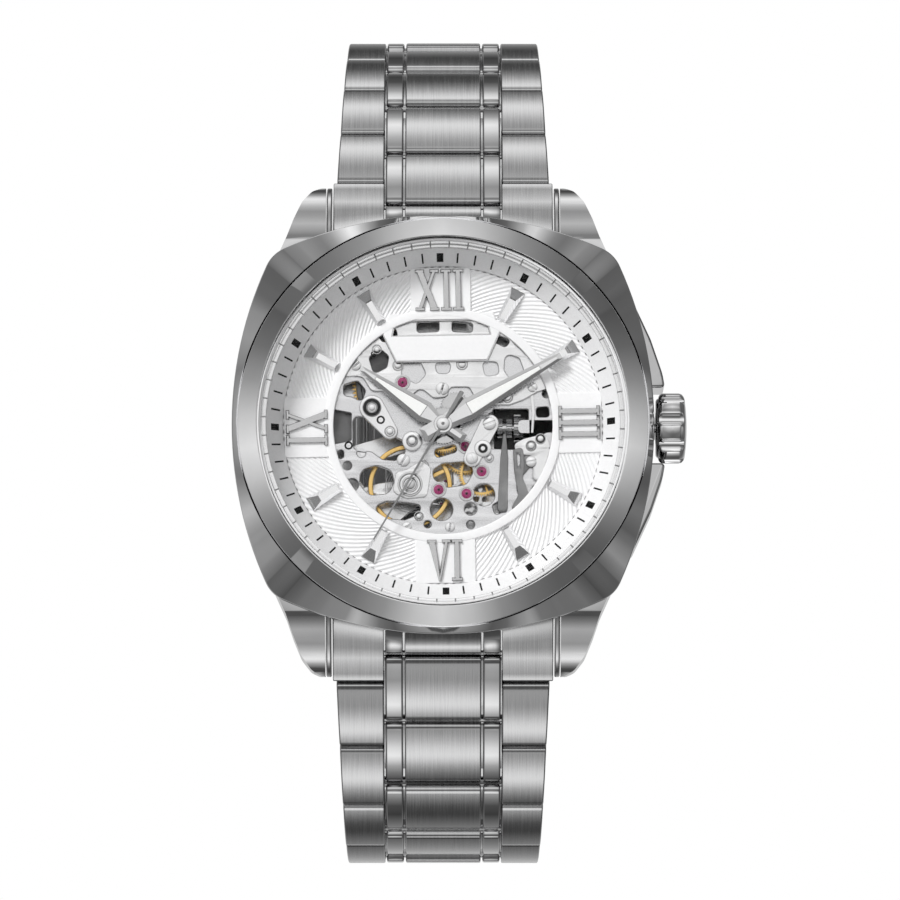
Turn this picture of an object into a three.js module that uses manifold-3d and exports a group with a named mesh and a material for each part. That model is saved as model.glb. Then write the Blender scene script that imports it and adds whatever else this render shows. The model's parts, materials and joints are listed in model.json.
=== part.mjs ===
// Skeleton automatic wristwatch on a steel bracelet, in millimetres.
// The watch is drawn lying on its case back: x towards 3 o'clock, y towards 12 o'clock,
// z up towards the viewer of the dial, z = 0 on the outer face of the case back.
// The last group stands it upright, so the dial faces -Y and 12 o'clock is up.
import * as THREE from 'three';
import { mergeVertices } from 'three/addons/utils/BufferGeometryUtils.js';
import Module from 'manifold-3d';

const wasm = await Module();
wasm.setup();

// ---------------------------------------------------------------- driving dimensions
const DEG = Math.PI / 180;

const CASE_HALF = 21.0; // half the width of the cushion case
const CASE_SIDE_R = 38.5; // radius of each bowed side
const CASE_CORNER_R = 3.5; // radius of each corner
const CASE_BOTTOM = 1.5;
const CASE_TOP = 8.7;
const CASE_INSET = 0.6; // mid case inside the bezel's outline
const BORE_R = 16.5; // movement bore
const THREAD_R = 17.0; // case back thread

const BEZEL_BOTTOM = 8.75;
const BEZEL_WALL = 9.4; // top of the bezel's upright edge
const BEZEL_GROOVE_R = 20.46; // where the cushion facets end and the round ring starts
const BEZEL_GROOVE_Z = 11.0;
const BEZEL_TOP_R = 18.45;
const BEZEL_TOP = 12.2;
const CRYSTAL_SEAT_R = 17.85;
const CRYSTAL_SEAT_Z = 10.05;

const DIAL_TURN = 1.03 * DEG; // the dial sits turned a little in the case
const DIAL_BOTTOM = 7.85;
const DIAL_TOP = 8.2;
const DIAL_R = 16.35;
const DIAL_OPENING_R = 10.9;
const DIAL_BAND_R = 11.8;
const DIAL_BAND_TOP = 8.35;
const MARKER_TOP = 8.55;

const LUG_INNER = 11.1; // half the space between the lugs
const LUG_TIP = 24.65; // lug tip, from the centre of the case

const PITCH = 8.0; // bracelet hinge spacing
const HINGE_Y = 23.3; // first hinge, from the centre of the case
const HINGE_Z = 3.0;
const END_SLOPE = 29; // degrees that the end link slopes at its hinge
const LINK_ANGLES_12 = [42.5, 46, 57.5, 67.3, 83.3, 106.9, 133.4, 159.1]; // degrees below the dial plane
const LINK_ANGLES_6 = [41, 47, 63, 80, 99, 119.2, 142, 162];
const LINK_END = 1.54; // how far a link's rounded end reaches past its hinge
const LINK_START = 1.66; // where the next link's flat end starts
const LINK_HALF_THICK = 1.35;
const LINK_CROWN = 0.2; // rise of the bowed top face
const TONGUE_HALF = 5.75; // half the width of the middle columns
const OUTER_INNER = 5.9; // inner side of the wide outer columns
const BRACELET_HALF_START = 10.7;
const BRACELET_HALF_END = 9.2;
const BRACELET_LENGTH = 8 * PITCH;

const CLASP_SPAN = 48.5; // straight distance between the clasp's two end hinges
const CLASP_R = 120; // radius that the clasp curves to
const CLASP_ANGLE = 181.4; // direction of the clasp's chord, degrees below the dial plane
const CLASP_HALF = 9.3;
const CLASP_WALL = 1.0;
const CLASP_PIN_S = 42.5; // hinge of cover and middle blade, along the clasp
const BLADE_PIN_S = 7.0; // hinge of the two blades, along the clasp
const BLADE_PIN_T = -0.95;
const PUSHER_S = 22;

const BLADE_HALF = 7.4; // half the width of the clasp's middle blade
const BLADE_SLOT_HALF = 6.25; // the inner blade lies in this slot
const INNER_BLADE_HALF = 6.1;
const EYE_HALF = 5.5; // half the width of the eye for the last link

const STEM_Z = 5.5;
const STEM_R = 0.45;
const STEM_TIP_R = 0.3;
const STEM_HOLE_R = 1.3; // hole through the side of the case
const TUBE_R = 1.2;
const TUBE_BORE_R = 0.65;
const CROWN_R = 3.5;
const CROWN_LOBES = 8;
const CROWN_LOBE_HALF = 0.27; // half the angle of a lobe's flat, in radians
const CROWN_LOBE_DROP = 0.06; // how far the lobe's edges lie inside its middle
const CROWN_GROOVE = 0.45; // depth between the lobes
const CROWN_FACE_R = 2.8; // plain ends on both sides of the fluted grip
const CROWN_SKIRT_BORE_R = 1.5;
const CROWN_INNER = 21.2;
const CROWN_OUTER = 24.3;

const PLATE_R = 13.0;
const PLATE_BOTTOM = 6.2;
const PLATE_TOP = 7.1;
const BRIDGE_BOTTOM = 3.0;
const BRIDGE_TOP = 3.5;
const PIVOT_HOLE_R = 0.3; // holes for the wheels' arbors
const CENTRE_HOLE_R = 0.55;
const BARREL_HOLE_R = 0.6;
const PILLAR_R = 0.7;
const ARBOR_BOTTOM = 3.2; // lower and upper ends of the train's arbors
const ARBOR_TOP = 6.8;
const ARBOR_R = 0.12;
const KEYLESS_BOTTOM = 7.15; // the setting lever and yoke lie on the dial side of the plate
const KEYLESS_TOP = 7.45;
const CUT_BOTTOM = -1; // cuts that pass right through reach from here to here
const CUT_TOP = 12;

// facets around large rings and around small wheels
const ROUND = 40;
const FINE = 24;

// axes of the movement's wheels, x and y
const BARREL = [-4.0, 4.4];
const THIRD = [2.2, -2.0];
const FOURTH = [3.84, -4.5];
const ESCAPE = [2.34, -6.7];
const PALLET = [-0.43, -6.3];
const BALANCE = [-3.28, -5.8];
const CROWN_WHEEL = [5.0, 3.4];
const MINUTE_WHEEL = [1.2, 2.0];

// windows in the main plate, each part of a ring: centre, inner and outer radius, degrees from and to
const PLATE_WINDOWS = [
  [BALANCE, 1.3, 4.3, 100, 172],
  [BALANCE, 1.3, 4.3, 188, 262],
  [BALANCE, 1.5, 4.3, 8, 70],
  [ESCAPE, 0.6, 2.2, -60, 60],
  [THIRD, 0.8, 2.3, -120, 20],
  [BARREL, 1.6, 4.2, 100, 190],
  [[0, 0], 8.2, 10.8, 172, 188],
  [[0, 0], 6.6, 10.4, 42, 84],
];
const KEYLESS_WINDOW = { left: 4.5, right: 8.6, low: -2.4, high: 1.8 }; // around the sliding pinion
const STEM_CHANNEL = { left: 8.0, right: 13.5, half: 1.0, top: 6.7 };

// ---------------------------------------------------------------- finishes
const BRUSHED = { color: 0x8d8d90, roughness: 0.38, metalness: 1 };
const POLISHED = { color: 0xa2a2a5, roughness: 0.12, metalness: 1 };
const PLATE = { color: 0xc9c9cc, roughness: 0.3, metalness: 1 };
const GOLD = { color: 0xd9ab58, roughness: 0.25, metalness: 1 };
const STEEL = { color: 0xb4b4b8, roughness: 0.2, metalness: 1 };
const WHITE = { color: 0xf2f2f0, roughness: 0.45, metalness: 0 };
const SILVER = { color: 0xd2d2d4, roughness: 0.35, metalness: 0.6 };
const GLASS = { color: 0xeef4f6, roughness: 0.03, metalness: 0, transparent: true, opacity: 0.25 };
const RUBBER = { color: 0x202022, roughness: 0.8, metalness: 0 };

// ---------------------------------------------------------------- solids
/** Signed volume of an indexed triangle list. */
function signedVolume(positions, triangles) {
  let sum = 0;
  const corner = [new THREE.Vector3(), new THREE.Vector3(), new THREE.Vector3()];
  for (let i = 0; i < triangles.length; i += 3) {
    corner.forEach((v, k) => v.fromArray(positions, 3 * triangles[i + k]));
    sum += corner[0].dot(corner[1].clone().cross(corner[2])) / 6;
  }
  return sum;
}

/** A closed three.js geometry as a manifold solid, with its faces turned outwards. */
function solid(geometry) {
  geometry.deleteAttribute('normal');
  geometry.deleteAttribute('uv');
  const merged = mergeVertices(geometry, 1e-4);
  const positions = new Float32Array(merged.getAttribute('position').array);
  const index = merged.getIndex().array;
  const triangles = [];
  for (let i = 0; i < index.length; i += 3) {
    const [a, b, c] = [index[i], index[i + 1], index[i + 2]];
    if (a !== b && b !== c && a !== c) triangles.push(a, b, c);
  }
  if (signedVolume(positions, triangles) < 0) triangles.reverse();
  const triVerts = new Uint32Array(triangles);
  return new wasm.Manifold(new wasm.Mesh({ numProp: 3, vertProperties: positions, triVerts }));
}

/** A manifold solid as a three.js geometry. */
function geometryOf(body) {
  const { vertProperties, triVerts } = body.getMesh();
  const geometry = new THREE.BufferGeometry();
  geometry.setAttribute('position', new THREE.BufferAttribute(new Float32Array(vertProperties), 3));
  geometry.setIndex(new THREE.BufferAttribute(new Uint32Array(triVerts), 1));
  geometry.computeVertexNormals();
  return geometry;
}

/** An outline from corner points. */
function outline(points) {
  return new THREE.Shape(points.map(([x, y]) => new THREE.Vector2(x, y)));
}

/** A flat outline raised from one height to another. */
function prism(shape, bottom, top, curveSegments = 6) {
  const options = { depth: top - bottom, bevelEnabled: false, curveSegments };
  return solid(new THREE.ExtrudeGeometry(shape, options).translate(0, 0, bottom));
}

/** Lays a shape drawn about z along x, so that its own x and y become y and z. */
function laidAlongX(geometry) {
  const [x, y, z] = [[1, 0, 0], [0, 1, 0], [0, 0, 1]].map((axis) => new THREE.Vector3(...axis));
  return geometry.applyMatrix4(new THREE.Matrix4().makeBasis(y, z, x));
}

/** A side view (y, z) drawn across the watch from one x to another. */
function across(shape, left, right, curveSegments = 6) {
  const options = { depth: right - left, bevelEnabled: false, curveSegments };
  return solid(laidAlongX(new THREE.ExtrudeGeometry(shape, options)).translate(left, 0, 0));
}

/** A closed profile of [radius, height] points turned about z at a place. */
function turned(profile, segments = 32, [x, y] = [0, 0]) {
  const points = [...profile, profile[0]].map(([r, z]) => new THREE.Vector2(r, z));
  return solid(new THREE.LatheGeometry(points, segments).rotateX(Math.PI / 2).translate(x, y, 0));
}

/** A flat ring or, with no inner radius, a disc. */
function ring(inner, outer, bottom, top, segments = 32, at = [0, 0]) {
  return turned([[inner, bottom], [outer, bottom], [outer, top], [inner, top]], segments, at);
}

/** A box given by its lowest and highest corners, turned about z through the origin. */
function block(low, high, turn = 0) {
  const size = high.map((v, k) => v - low[k]);
  const middle = high.map((v, k) => (v + low[k]) / 2);
  return solid(new THREE.BoxGeometry(...size).translate(...middle).rotateZ(turn));
}

/** A round bar along x. */
function barX(radius, left, right, y, z, segments = 12) {
  const geometry = new THREE.CylinderGeometry(radius, radius, right - left, segments);
  return solid(geometry.rotateZ(Math.PI / 2).translate((left + right) / 2, y, z));
}

/** A round hole of a radius, right through the watch. */
function hole(radius, at, segments = 12) {
  return ring(0, radius, CUT_BOTTOM, CUT_TOP, segments, at);
}

/** Joins a list of solids. */
function joined(solids) {
  return solids.reduce((sum, next) => sum.add(next));
}

/** Adds a named sub-part to a group. */
function part(parent, name, body, finish) {
  const mesh = new THREE.Mesh(geometryOf(body), new THREE.MeshStandardMaterial(finish));
  mesh.name = name;
  parent.add(mesh);
}

// ---------------------------------------------------------------- case
/** Where the corner arcs of the cushion outline sit, and the angle at which they start. */
function cushionCorner() {
  const back = CASE_SIDE_R - CASE_HALF;
  const reach = CASE_SIDE_R - CASE_CORNER_R;
  const place = (-back + Math.sqrt(2 * reach * reach - back * back)) / 2;
  return { place, start: Math.atan2(place, place + back), back };
}

/** The cushion outline, moved in by an inset. */
function cushion(inset) {
  const { place, start, back } = cushionCorner();
  const shape = new THREE.Shape();
  for (let side = 0; side < 4; side += 1) {
    const turn = (side * Math.PI) / 2;
    const [c, s] = [Math.round(Math.cos(turn)), Math.round(Math.sin(turn))];
    shape.absarc(-back * c, -back * s, CASE_SIDE_R - inset, turn - start, turn + start);
    const [x, y] = [place * (c - s), place * (c + s)];
    const end = turn + Math.PI / 2 - start;
    shape.absarc(x, y, Math.max(CASE_CORNER_R - inset, 0.4), turn + start, end);
  }
  return shape;
}

/** Distance from the centre to the cushion outline in a direction. */
function cushionRadius(angle) {
  const { place, start, back } = cushionCorner();
  const quarter = Math.PI / 2;
  const local = Math.abs(angle - quarter * Math.round(angle / quarter));
  const side = -back * Math.cos(local) + Math.sqrt(CASE_SIDE_R ** 2 - (back * Math.sin(local)) ** 2);
  const touch = Math.atan2(
    place + CASE_CORNER_R * Math.sin(start),
    place + CASE_CORNER_R * Math.cos(start),
  );
  if (local <= touch) return side;
  const along = place * (Math.cos(local) + Math.sin(local));
  return along + Math.sqrt(along ** 2 - 2 * place ** 2 + CASE_CORNER_R ** 2);
}

/** One lug: its plan cut to its side view. */
function lug(sideX, sideY) {
  const plan = outline([
    [LUG_INNER, 12], [17.6, 12], [17.0, 15.8], [15.6, 18.9], [14.9, 20.9], [14.1, 22.8],
    [13.1, 24.1], [12.0, LUG_TIP], [LUG_INNER, LUG_TIP],
  ].map(([x, y]) => [x * sideX, y * sideY]));
  const side = outline([
    [12, CASE_BOTTOM], [19.5, CASE_BOTTOM], [20.8, 0.8], [23.6, 0.5], [24.5, 1.3], [24.65, 2.7], [23.7, 4.9],
    [21.6, 7.2], [19.2, CASE_TOP], [12, CASE_TOP],
  ].map(([y, z]) => [y * sideY, z]));
  return prism(plan, -1, 10).intersect(across(side, -20, 20));
}

/** The shoulders that protect the crown. */
function crownGuard(sideY) {
  const plan = outline([
    [18.0, 13.6], [18.9, 12.3], [20.7, 8.6], [21.9, 5.2], [22.1, 3.75], [18.0, 3.75],
  ].map(([x, y]) => [x, y * sideY]));
  return prism(plan, 2.2, 8.2);
}

/** The case middle with its lugs, crown guards, movement bore and stem hole. */
function midCase() {
  let body = prism(cushion(CASE_INSET), CASE_BOTTOM, CASE_TOP, 3);
  for (const sideX of [-1, 1]) {
    for (const sideY of [-1, 1]) body = body.add(lug(sideX, sideY));
  }
  body = body.add(crownGuard(1)).add(crownGuard(-1));
  const bore = turned([
    [0, 0], [THREAD_R, 0], [THREAD_R, 2.8], [BORE_R, 2.8], [BORE_R, 10], [0, 10],
  ], ROUND);
  return body.subtract(bore).subtract(barX(STEM_HOLE_R, 15, 23, 0, STEM_Z));
}

/** The bezel: a turned ring whose lower rim is drawn out to the cushion outline. */
function bezel() {
  const rim = CASE_HALF;
  const profile = [
    [CRYSTAL_SEAT_R, BEZEL_BOTTOM], [rim, BEZEL_BOTTOM], [rim, BEZEL_WALL],
    [BEZEL_GROOVE_R, BEZEL_GROOVE_Z], [BEZEL_TOP_R, BEZEL_TOP],
    [BEZEL_TOP_R, CRYSTAL_SEAT_Z], [CRYSTAL_SEAT_R, CRYSTAL_SEAT_Z],
  ];
  const points = [...profile, profile[0]].map(([r, z]) => new THREE.Vector2(r, z));
  const geometry = new THREE.LatheGeometry(points, 64).rotateX(Math.PI / 2);
  const place = geometry.getAttribute('position');
  for (let i = 0; i < place.count; i += 1) {
    const [x, y] = [place.getX(i), place.getY(i)];
    const radius = Math.hypot(x, y);
    if (radius < rim - 0.1) continue;
    const scale = cushionRadius(Math.atan2(y, x)) / radius;
    place.setXY(i, x * scale, y * scale);
  }
  return solid(geometry);
}

/** The flat sapphire crystal with a bevelled edge. */
function crystal() {
  return turned([[0, 10.15], [18.0, 10.15], [18.0, 11.6], [17.6, 11.95], [0, 11.95]], ROUND);
}

/** The sloping minute ring around the dial. */
function chapterRing() {
  return turned([
    [15.95, 8.25], [16.4, 8.25], [16.4, 8.78], [17.75, 8.78], [17.75, 9.95], [17.5, 9.95],
    [15.95, 8.4],
  ], ROUND);
}

/** The steel case back ring, with six notches for the opening tool. */
function caseBack() {
  let body = turned([
    [12.35, 0], [18.2, 0], [18.6, 0.4], [18.6, 1.2], [16.85, 1.2], [16.85, 2.6],
    [16.2, 2.6], [16.2, 1.3], [11.7, 1.3], [11.7, 1.1], [12.35, 1.1],
  ], ROUND);
  for (let notch = 0; notch < 6; notch += 1) {
    body = body.subtract(block([17.2, -0.9, -1], [19.5, 0.9, 0.8], (notch * 60 + 30) * DEG));
  }
  return body;
}

/** The end link that fills the space between two lugs. */
function endLink() {
  const [c, s] = [Math.cos(END_SLOPE * DEG), Math.sin(END_SLOPE * DEG)];
  const along = (distance, height) => [
    HINGE_Y + distance * c + height * s,
    HINGE_Z - distance * s + height * c,
  ];
  const top = LINK_HALF_THICK;
  const columns = outline([
    [21.2, 1.2], along(0.5, -1.3), along(1.3, -0.8), along(LINK_END, 0), along(LINK_END, top - 0.3),
    along(LINK_END - 0.3, top), along(-3.2, top + 0.1), [20.6, 7.6], [20.6, 3.4],
  ]);
  const middle = outline([
    [20.6, 3.4], [21.2, 1.2], along(-LINK_START, -1.0), along(-LINK_START, top),
    along(-3.2, top + 0.1), [20.6, 7.6],
  ]);
  const edge = LUG_INNER - 0.12;
  return joined([
    across(columns, -edge, -OUTER_INNER),
    across(columns, OUTER_INNER, edge),
    across(middle, -OUTER_INNER - 0.2, OUTER_INNER + 0.2),
  ]);
}

function addCase(watch) {
  part(watch, 'mid_case', midCase(), BRUSHED);
  part(watch, 'bezel', bezel(), POLISHED);
  part(watch, 'crystal', crystal(), GLASS);
  part(watch, 'crystal_gasket', ring(18.08, 18.38, 10.12, 11.7, ROUND), RUBBER);
  part(watch, 'chapter_ring', chapterRing(), SILVER);
  part(watch, 'case_back', caseBack(), BRUSHED);
  part(watch, 'case_back_glass', ring(0, 12.25, 0, 1.0, ROUND), GLASS);
  part(watch, 'case_back_gasket', ring(17.15, 17.55, 1.25, 1.45, ROUND), RUBBER);
  part(watch, 'end_link_12', endLink(), BRUSHED);
  const turnedRound = new THREE.Group();
  turnedRound.rotation.z = Math.PI;
  watch.add(turnedRound);
  part(turnedRound, 'end_link_6', endLink(), BRUSHED);
}

// ---------------------------------------------------------------- dial and hands
/** A straight bar standing on the dial, centred on a place and turned. */
function dialBar(x, y, width, length, turn) {
  const bar = new THREE.BoxGeometry(width, length, MARKER_TOP - DIAL_TOP + 0.1);
  return solid(bar.rotateZ(turn).translate(x, y, (MARKER_TOP + DIAL_TOP - 0.1) / 2));
}

/** Roman numeral strokes drawn at 12 o'clock. V is drawn point outwards, for 6 o'clock. */
function numeral(letters) {
  const height = 4.15;
  const pitch = 1.25;
  const middle = 13.3;
  const widths = { I: pitch, V: 2.3, X: 2.3 };
  const total = [...letters].reduce((sum, letter) => sum + widths[letter], 0);
  let x = -total / 2;
  const strokes = [];
  for (const letter of letters) {
    const centre = x + widths[letter] / 2;
    if (letter === 'I') strokes.push([centre, 0.55, 0]);
    if (letter === 'X') strokes.push([centre, 0.6, 23 * DEG], [centre, 0.4, -23 * DEG]);
    if (letter === 'V') strokes.push([centre - 0.5, 0.4, -13 * DEG], [centre + 0.5, 0.6, 13 * DEG]);
    x += widths[letter];
  }
  return strokes.map(([place, width, turn]) => dialBar(place, middle, width, height, turn));
}

/** Turns a solid about z through the centre of the dial. */
function swung(body, angle) {
  return solid(geometryOf(body).rotateZ(angle));
}

/** The dial: open middle, raised inner band, four plain panels, numerals and batons. */
function dial() {
  let body = turned([
    [DIAL_OPENING_R, DIAL_BOTTOM], [DIAL_R, DIAL_BOTTOM], [DIAL_R, DIAL_TOP],
    [DIAL_BAND_R, DIAL_TOP], [DIAL_BAND_R, DIAL_BAND_TOP], [DIAL_OPENING_R, DIAL_BAND_TOP],
  ], ROUND);
  const numerals = { 0: 'XII', 3: 'III', 6: 'IV', 9: 'IX' };
  for (let hour = 0; hour < 12; hour += 1) {
    const turn = -hour * 30 * DEG;
    if (hour % 3 === 0) {
      body = body.add(block([-3, 11.6, DIAL_TOP - 0.1], [3, 15.55, DIAL_TOP + 0.08], turn));
      for (const stroke of numeral(numerals[hour])) body = body.add(swung(stroke, turn));
    } else {
      const baton = outline([[-0.5, 12], [0.5, 12], [0.7, 15.4], [-0.7, 15.4]]);
      body = body.add(swung(prism(baton, DIAL_TOP - 0.1, MARKER_TOP), turn));
    }
  }
  const plate = outline([[-4.5, 6.5], [4.5, 6.5], [5.8, 9.3], [5.2, 11.2], [-5.2, 11.2], [-5.8, 9.3]]);
  const window = outline([[-5.0, 8.9], [5.0, 8.9], [4.6, 10.6], [-4.6, 10.6]]);
  return body.add(prism(plate, DIAL_BOTTOM, DIAL_TOP).subtract(prism(window, 7, 9)));
}

/** A lance-shaped hand pointing to 12, blunt at its tip, with a tail, a hub and a pipe. */
function hand({ length, tipHalf, tail, half, widest, tailHalf, hubR, holeR, pipe, bottom, top }) {
  const blade = outline([
    [-tipHalf, length], [tipHalf, length], [half, widest], [tailHalf, 0], [tailHalf, -tail],
    [-tailHalf, -tail], [-tailHalf, 0], [-half, widest],
  ]);
  let body = prism(blade, bottom, top).add(ring(0, hubR, bottom, top, 16));
  if (pipe < bottom) body = body.add(ring(0, hubR * 0.8, pipe, top, 16));
  return holeR > 0 ? body.subtract(ring(0, holeR, pipe - 1, top + 1, 12)) : body;
}

function addDial(watch) {
  const turnedDial = new THREE.Group();
  turnedDial.rotation.z = DIAL_TURN;
  watch.add(turnedDial);
  part(turnedDial, 'dial', dial(), WHITE);
}

/** Places a hand at its angle clockwise from 12. */
function addHand(watch, name, degrees, body, finish) {
  const pointing = new THREE.Group();
  pointing.rotation.z = -degrees * DEG;
  watch.add(pointing);
  part(pointing, name, body, finish);
}

function addHands(watch) {
  addHand(watch, 'hour_hand', -55.4, hand({
    length: 9.9, tipHalf: 0.25, tail: 2.6, half: 1.1, widest: 2.2, tailHalf: 0.5, hubR: 1.0,
    holeR: 0.86, pipe: 8.75, bottom: 8.75, top: 8.95,
  }), STEEL);
  addHand(watch, 'minute_hand', 59.7, hand({
    length: 13.6, tipHalf: 0.33, tail: 2.3, half: 1.1, widest: 2.9, tailHalf: 0.75, hubR: 0.9,
    holeR: 0.55, pipe: 9.15, bottom: 9.15, top: 9.35,
  }), STEEL);
  const seconds = hand({
    length: 13.5, tipHalf: 0.05, tail: 3.8, half: 0.13, widest: 3, tailHalf: 0.15, hubR: 0.65,
    holeR: 0, pipe: 9.5, bottom: 9.5, top: 9.62,
  });
  const arbor = turned([[0, 3.95], [0.1, 3.95], [0.1, 4.3], [0.29, 4.3], [0.29, 4.7], [0.13, 4.7],
    [0.13, 9.55], [0, 9.55]], 10);
  addHand(watch, 'second_hand', 210.7, seconds.add(arbor), STEEL);
}

// ---------------------------------------------------------------- movement
/** A wheel blank on an arbor with its pinion, and a bore where the arbor is hollow. */
function wheel({ at, radius, bottom, top, pinion, arbor, bore = 0 }) {
  const body = joined([
    ring(0, radius, bottom, top, FINE, at),
    ring(0, pinion.radius, pinion.bottom, pinion.top, 10, at),
    ring(0, arbor.radius, arbor.bottom, arbor.top, 8, at),
  ]);
  return bore > 0 ? body.subtract(hole(bore, at, 8)) : body;
}

/** A window in a plate: part of a ring around a centre. */
function sector(at, inner, outer, from, to) {
  const shape = new THREE.Shape();
  shape.absarc(at[0], at[1], outer, from * DEG, to * DEG, false);
  shape.absarc(at[0], at[1], inner, to * DEG, from * DEG, true);
  return prism(shape, CUT_BOTTOM, CUT_TOP, 3);
}

/** The main plate with its windows, seen through the dial. */
function mainPlate() {
  let body = ring(0, PLATE_R, PLATE_BOTTOM, PLATE_TOP, ROUND);
  for (const window of PLATE_WINDOWS) body = body.subtract(sector(...window));
  const { left, right, low, high } = KEYLESS_WINDOW;
  body = body.subtract(block([left, low, CUT_BOTTOM], [right, high, CUT_TOP]));
  const channel = STEM_CHANNEL;
  body = body.subtract(block(
    [channel.left, -channel.half, CUT_BOTTOM],
    [channel.right, channel.half, channel.top],
  ));
  for (const at of [THIRD, FOURTH, ESCAPE, PALLET, BALANCE, BARREL, MINUTE_WHEEL]) {
    body = body.subtract(hole(PIVOT_HOLE_R, at, 8));
  }
  return body.subtract(hole(CENTRE_HOLE_R, [0, 0], 8));
}

/** The bridge over the barrel, with holes for the barrel arbor and crown wheel post. */
function barrelBridge() {
  const shape = new THREE.Shape();
  shape.absarc(0, 0, 12.2, 8 * DEG, 172 * DEG, false);
  shape.lineTo(-1.4, 1.4);
  shape.lineTo(1.4, 1.4);
  let body = prism(shape, BRIDGE_BOTTOM, BRIDGE_TOP, 8);
  for (const at of [BARREL, CROWN_WHEEL]) body = body.subtract(hole(BARREL_HOLE_R, at));
  return body.add(pillar([-9.6, 6.6])).add(pillar([3.0, 11.0])).add(pillar([10.7, 4.2]));
}

/** A post from a bridge up to the main plate. */
function pillar(at) {
  return ring(0, PILLAR_R, BRIDGE_BOTTOM + 0.1, PLATE_BOTTOM - 0.02, 10, at);
}

/** The bridge over the going train. */
function trainBridge() {
  const shape = outline([
    [-1.3, 1.2], [2.6, 1.1], [6.4, -0.6], [11.6, -2.6], [9.6, -7.4], [5.6, -10.7], [1.7, -10.4],
    [1.0, -7.0], [0.9, -3.0], [-1.3, -1.4],
  ]);
  let body = prism(shape, BRIDGE_BOTTOM, BRIDGE_TOP);
  for (const at of [[0, 0], THIRD, FOURTH, ESCAPE]) body = body.subtract(hole(PIVOT_HOLE_R, at, 10));
  return body.add(pillar([8.6, -3.6])).add(pillar([5.6, -9.2]));
}

/** The cock that carries the balance and the pallet fork. */
function balanceCock() {
  const shape = outline([
    [-2.0, -4.6], [-0.2, -5.2], [0.55, -6.3], [0.3, -7.6], [-2.4, -7.4], [-6.0, -10.6],
    [-9.2, -8.6], [-9.8, -6.2], [-6.4, -5.2],
  ]);
  let body = prism(shape, BRIDGE_BOTTOM, BRIDGE_TOP);
  for (const at of [BALANCE, PALLET]) body = body.subtract(hole(PIVOT_HOLE_R, at, 10));
  return body.add(pillar([-8.6, -7.2]));
}

/** The oscillating weight, a half disc with a heavy rim, hanging below its bearing. */
function rotor() {
  const web = new THREE.Shape();
  web.absarc(0, 0, 11.6, 190 * DEG, 350 * DEG, false);
  web.lineTo(1.6, 1.2);
  web.lineTo(-1.6, 1.2);
  const rim = new THREE.Shape();
  rim.absarc(0, 0, 12.4, 188 * DEG, 352 * DEG, false);
  rim.absarc(0, 0, 10.6, 352 * DEG, 188 * DEG, true);
  const body = prism(web, 1.75, 2.1, 8).add(prism(rim, 1.5, 2.75, 8));
  return body.add(ring(0, 1.9, 1.6, 2.6, 16)).add(ring(0, 0.8, 2.5, 2.85, 10));
}

/** The mainspring barrel: a drum with a toothed rim on its arbor. */
function mainspringBarrel() {
  return turned([
    [0, 3.75], [0.5, 3.75], [0.5, 4.15], [4.7, 4.15], [4.7, 4.5], [5.05, 4.5], [5.05, 4.75],
    [4.7, 4.75], [4.7, 5.7], [0.22, 5.7], [0.22, 6.9], [0, 6.9],
  ], FINE, BARREL);
}

/** A flat wheel that turns on a post. */
function flatWheel(at, radius, bottom, top, bore) {
  return ring(bore, radius, bottom, top, FINE, at);
}

/** The balance: a plain rim, two arms, staff and roller. */
function balanceWheel() {
  let body = ring(3.7, 4.2, 5.25, 5.65, FINE, BALANCE);
  const arm = new THREE.BoxGeometry(7.8, 0.5, 0.25).translate(0, 0, 5.45).rotateZ(25 * DEG);
  body = body.add(solid(arm.translate(BALANCE[0], BALANCE[1], 0)));
  const staff = turned([
    [0, 3.2], [0.1, 3.2], [0.1, 4.5], [0.45, 4.5], [0.45, 4.65], [0.25, 4.65], [0.25, 6.1],
    [0.1, 6.1], [0.1, 6.9], [0, 6.9],
  ], 12, BALANCE);
  return body.add(staff);
}

/** The pallet fork: two stones towards the escape wheel and a fork towards the balance. */
function palletFork() {
  const towards = Math.atan2(BALANCE[1] - PALLET[1], BALANCE[0] - PALLET[0]);
  const lever = outline([
    [-0.5, -1.2], [-0.25, -1.2], [0.15, -0.3], [1.9, -0.12], [2.3, -0.3], [2.3, 0.3], [1.9, 0.12],
    [0.15, 0.3], [-0.25, 1.2], [-0.5, 1.2], [-0.4, 0],
  ]);
  const flat = geometryOf(prism(lever, 4.98, 5.12)).rotateZ(towards);
  const arbor = ring(0, ARBOR_R, ARBOR_BOTTOM, ARBOR_TOP, 10, PALLET);
  return solid(flat.translate(PALLET[0], PALLET[1], 0)).add(arbor);
}

const TRAIN_ARBOR = { radius: ARBOR_R, bottom: ARBOR_BOTTOM, top: ARBOR_TOP };

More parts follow.
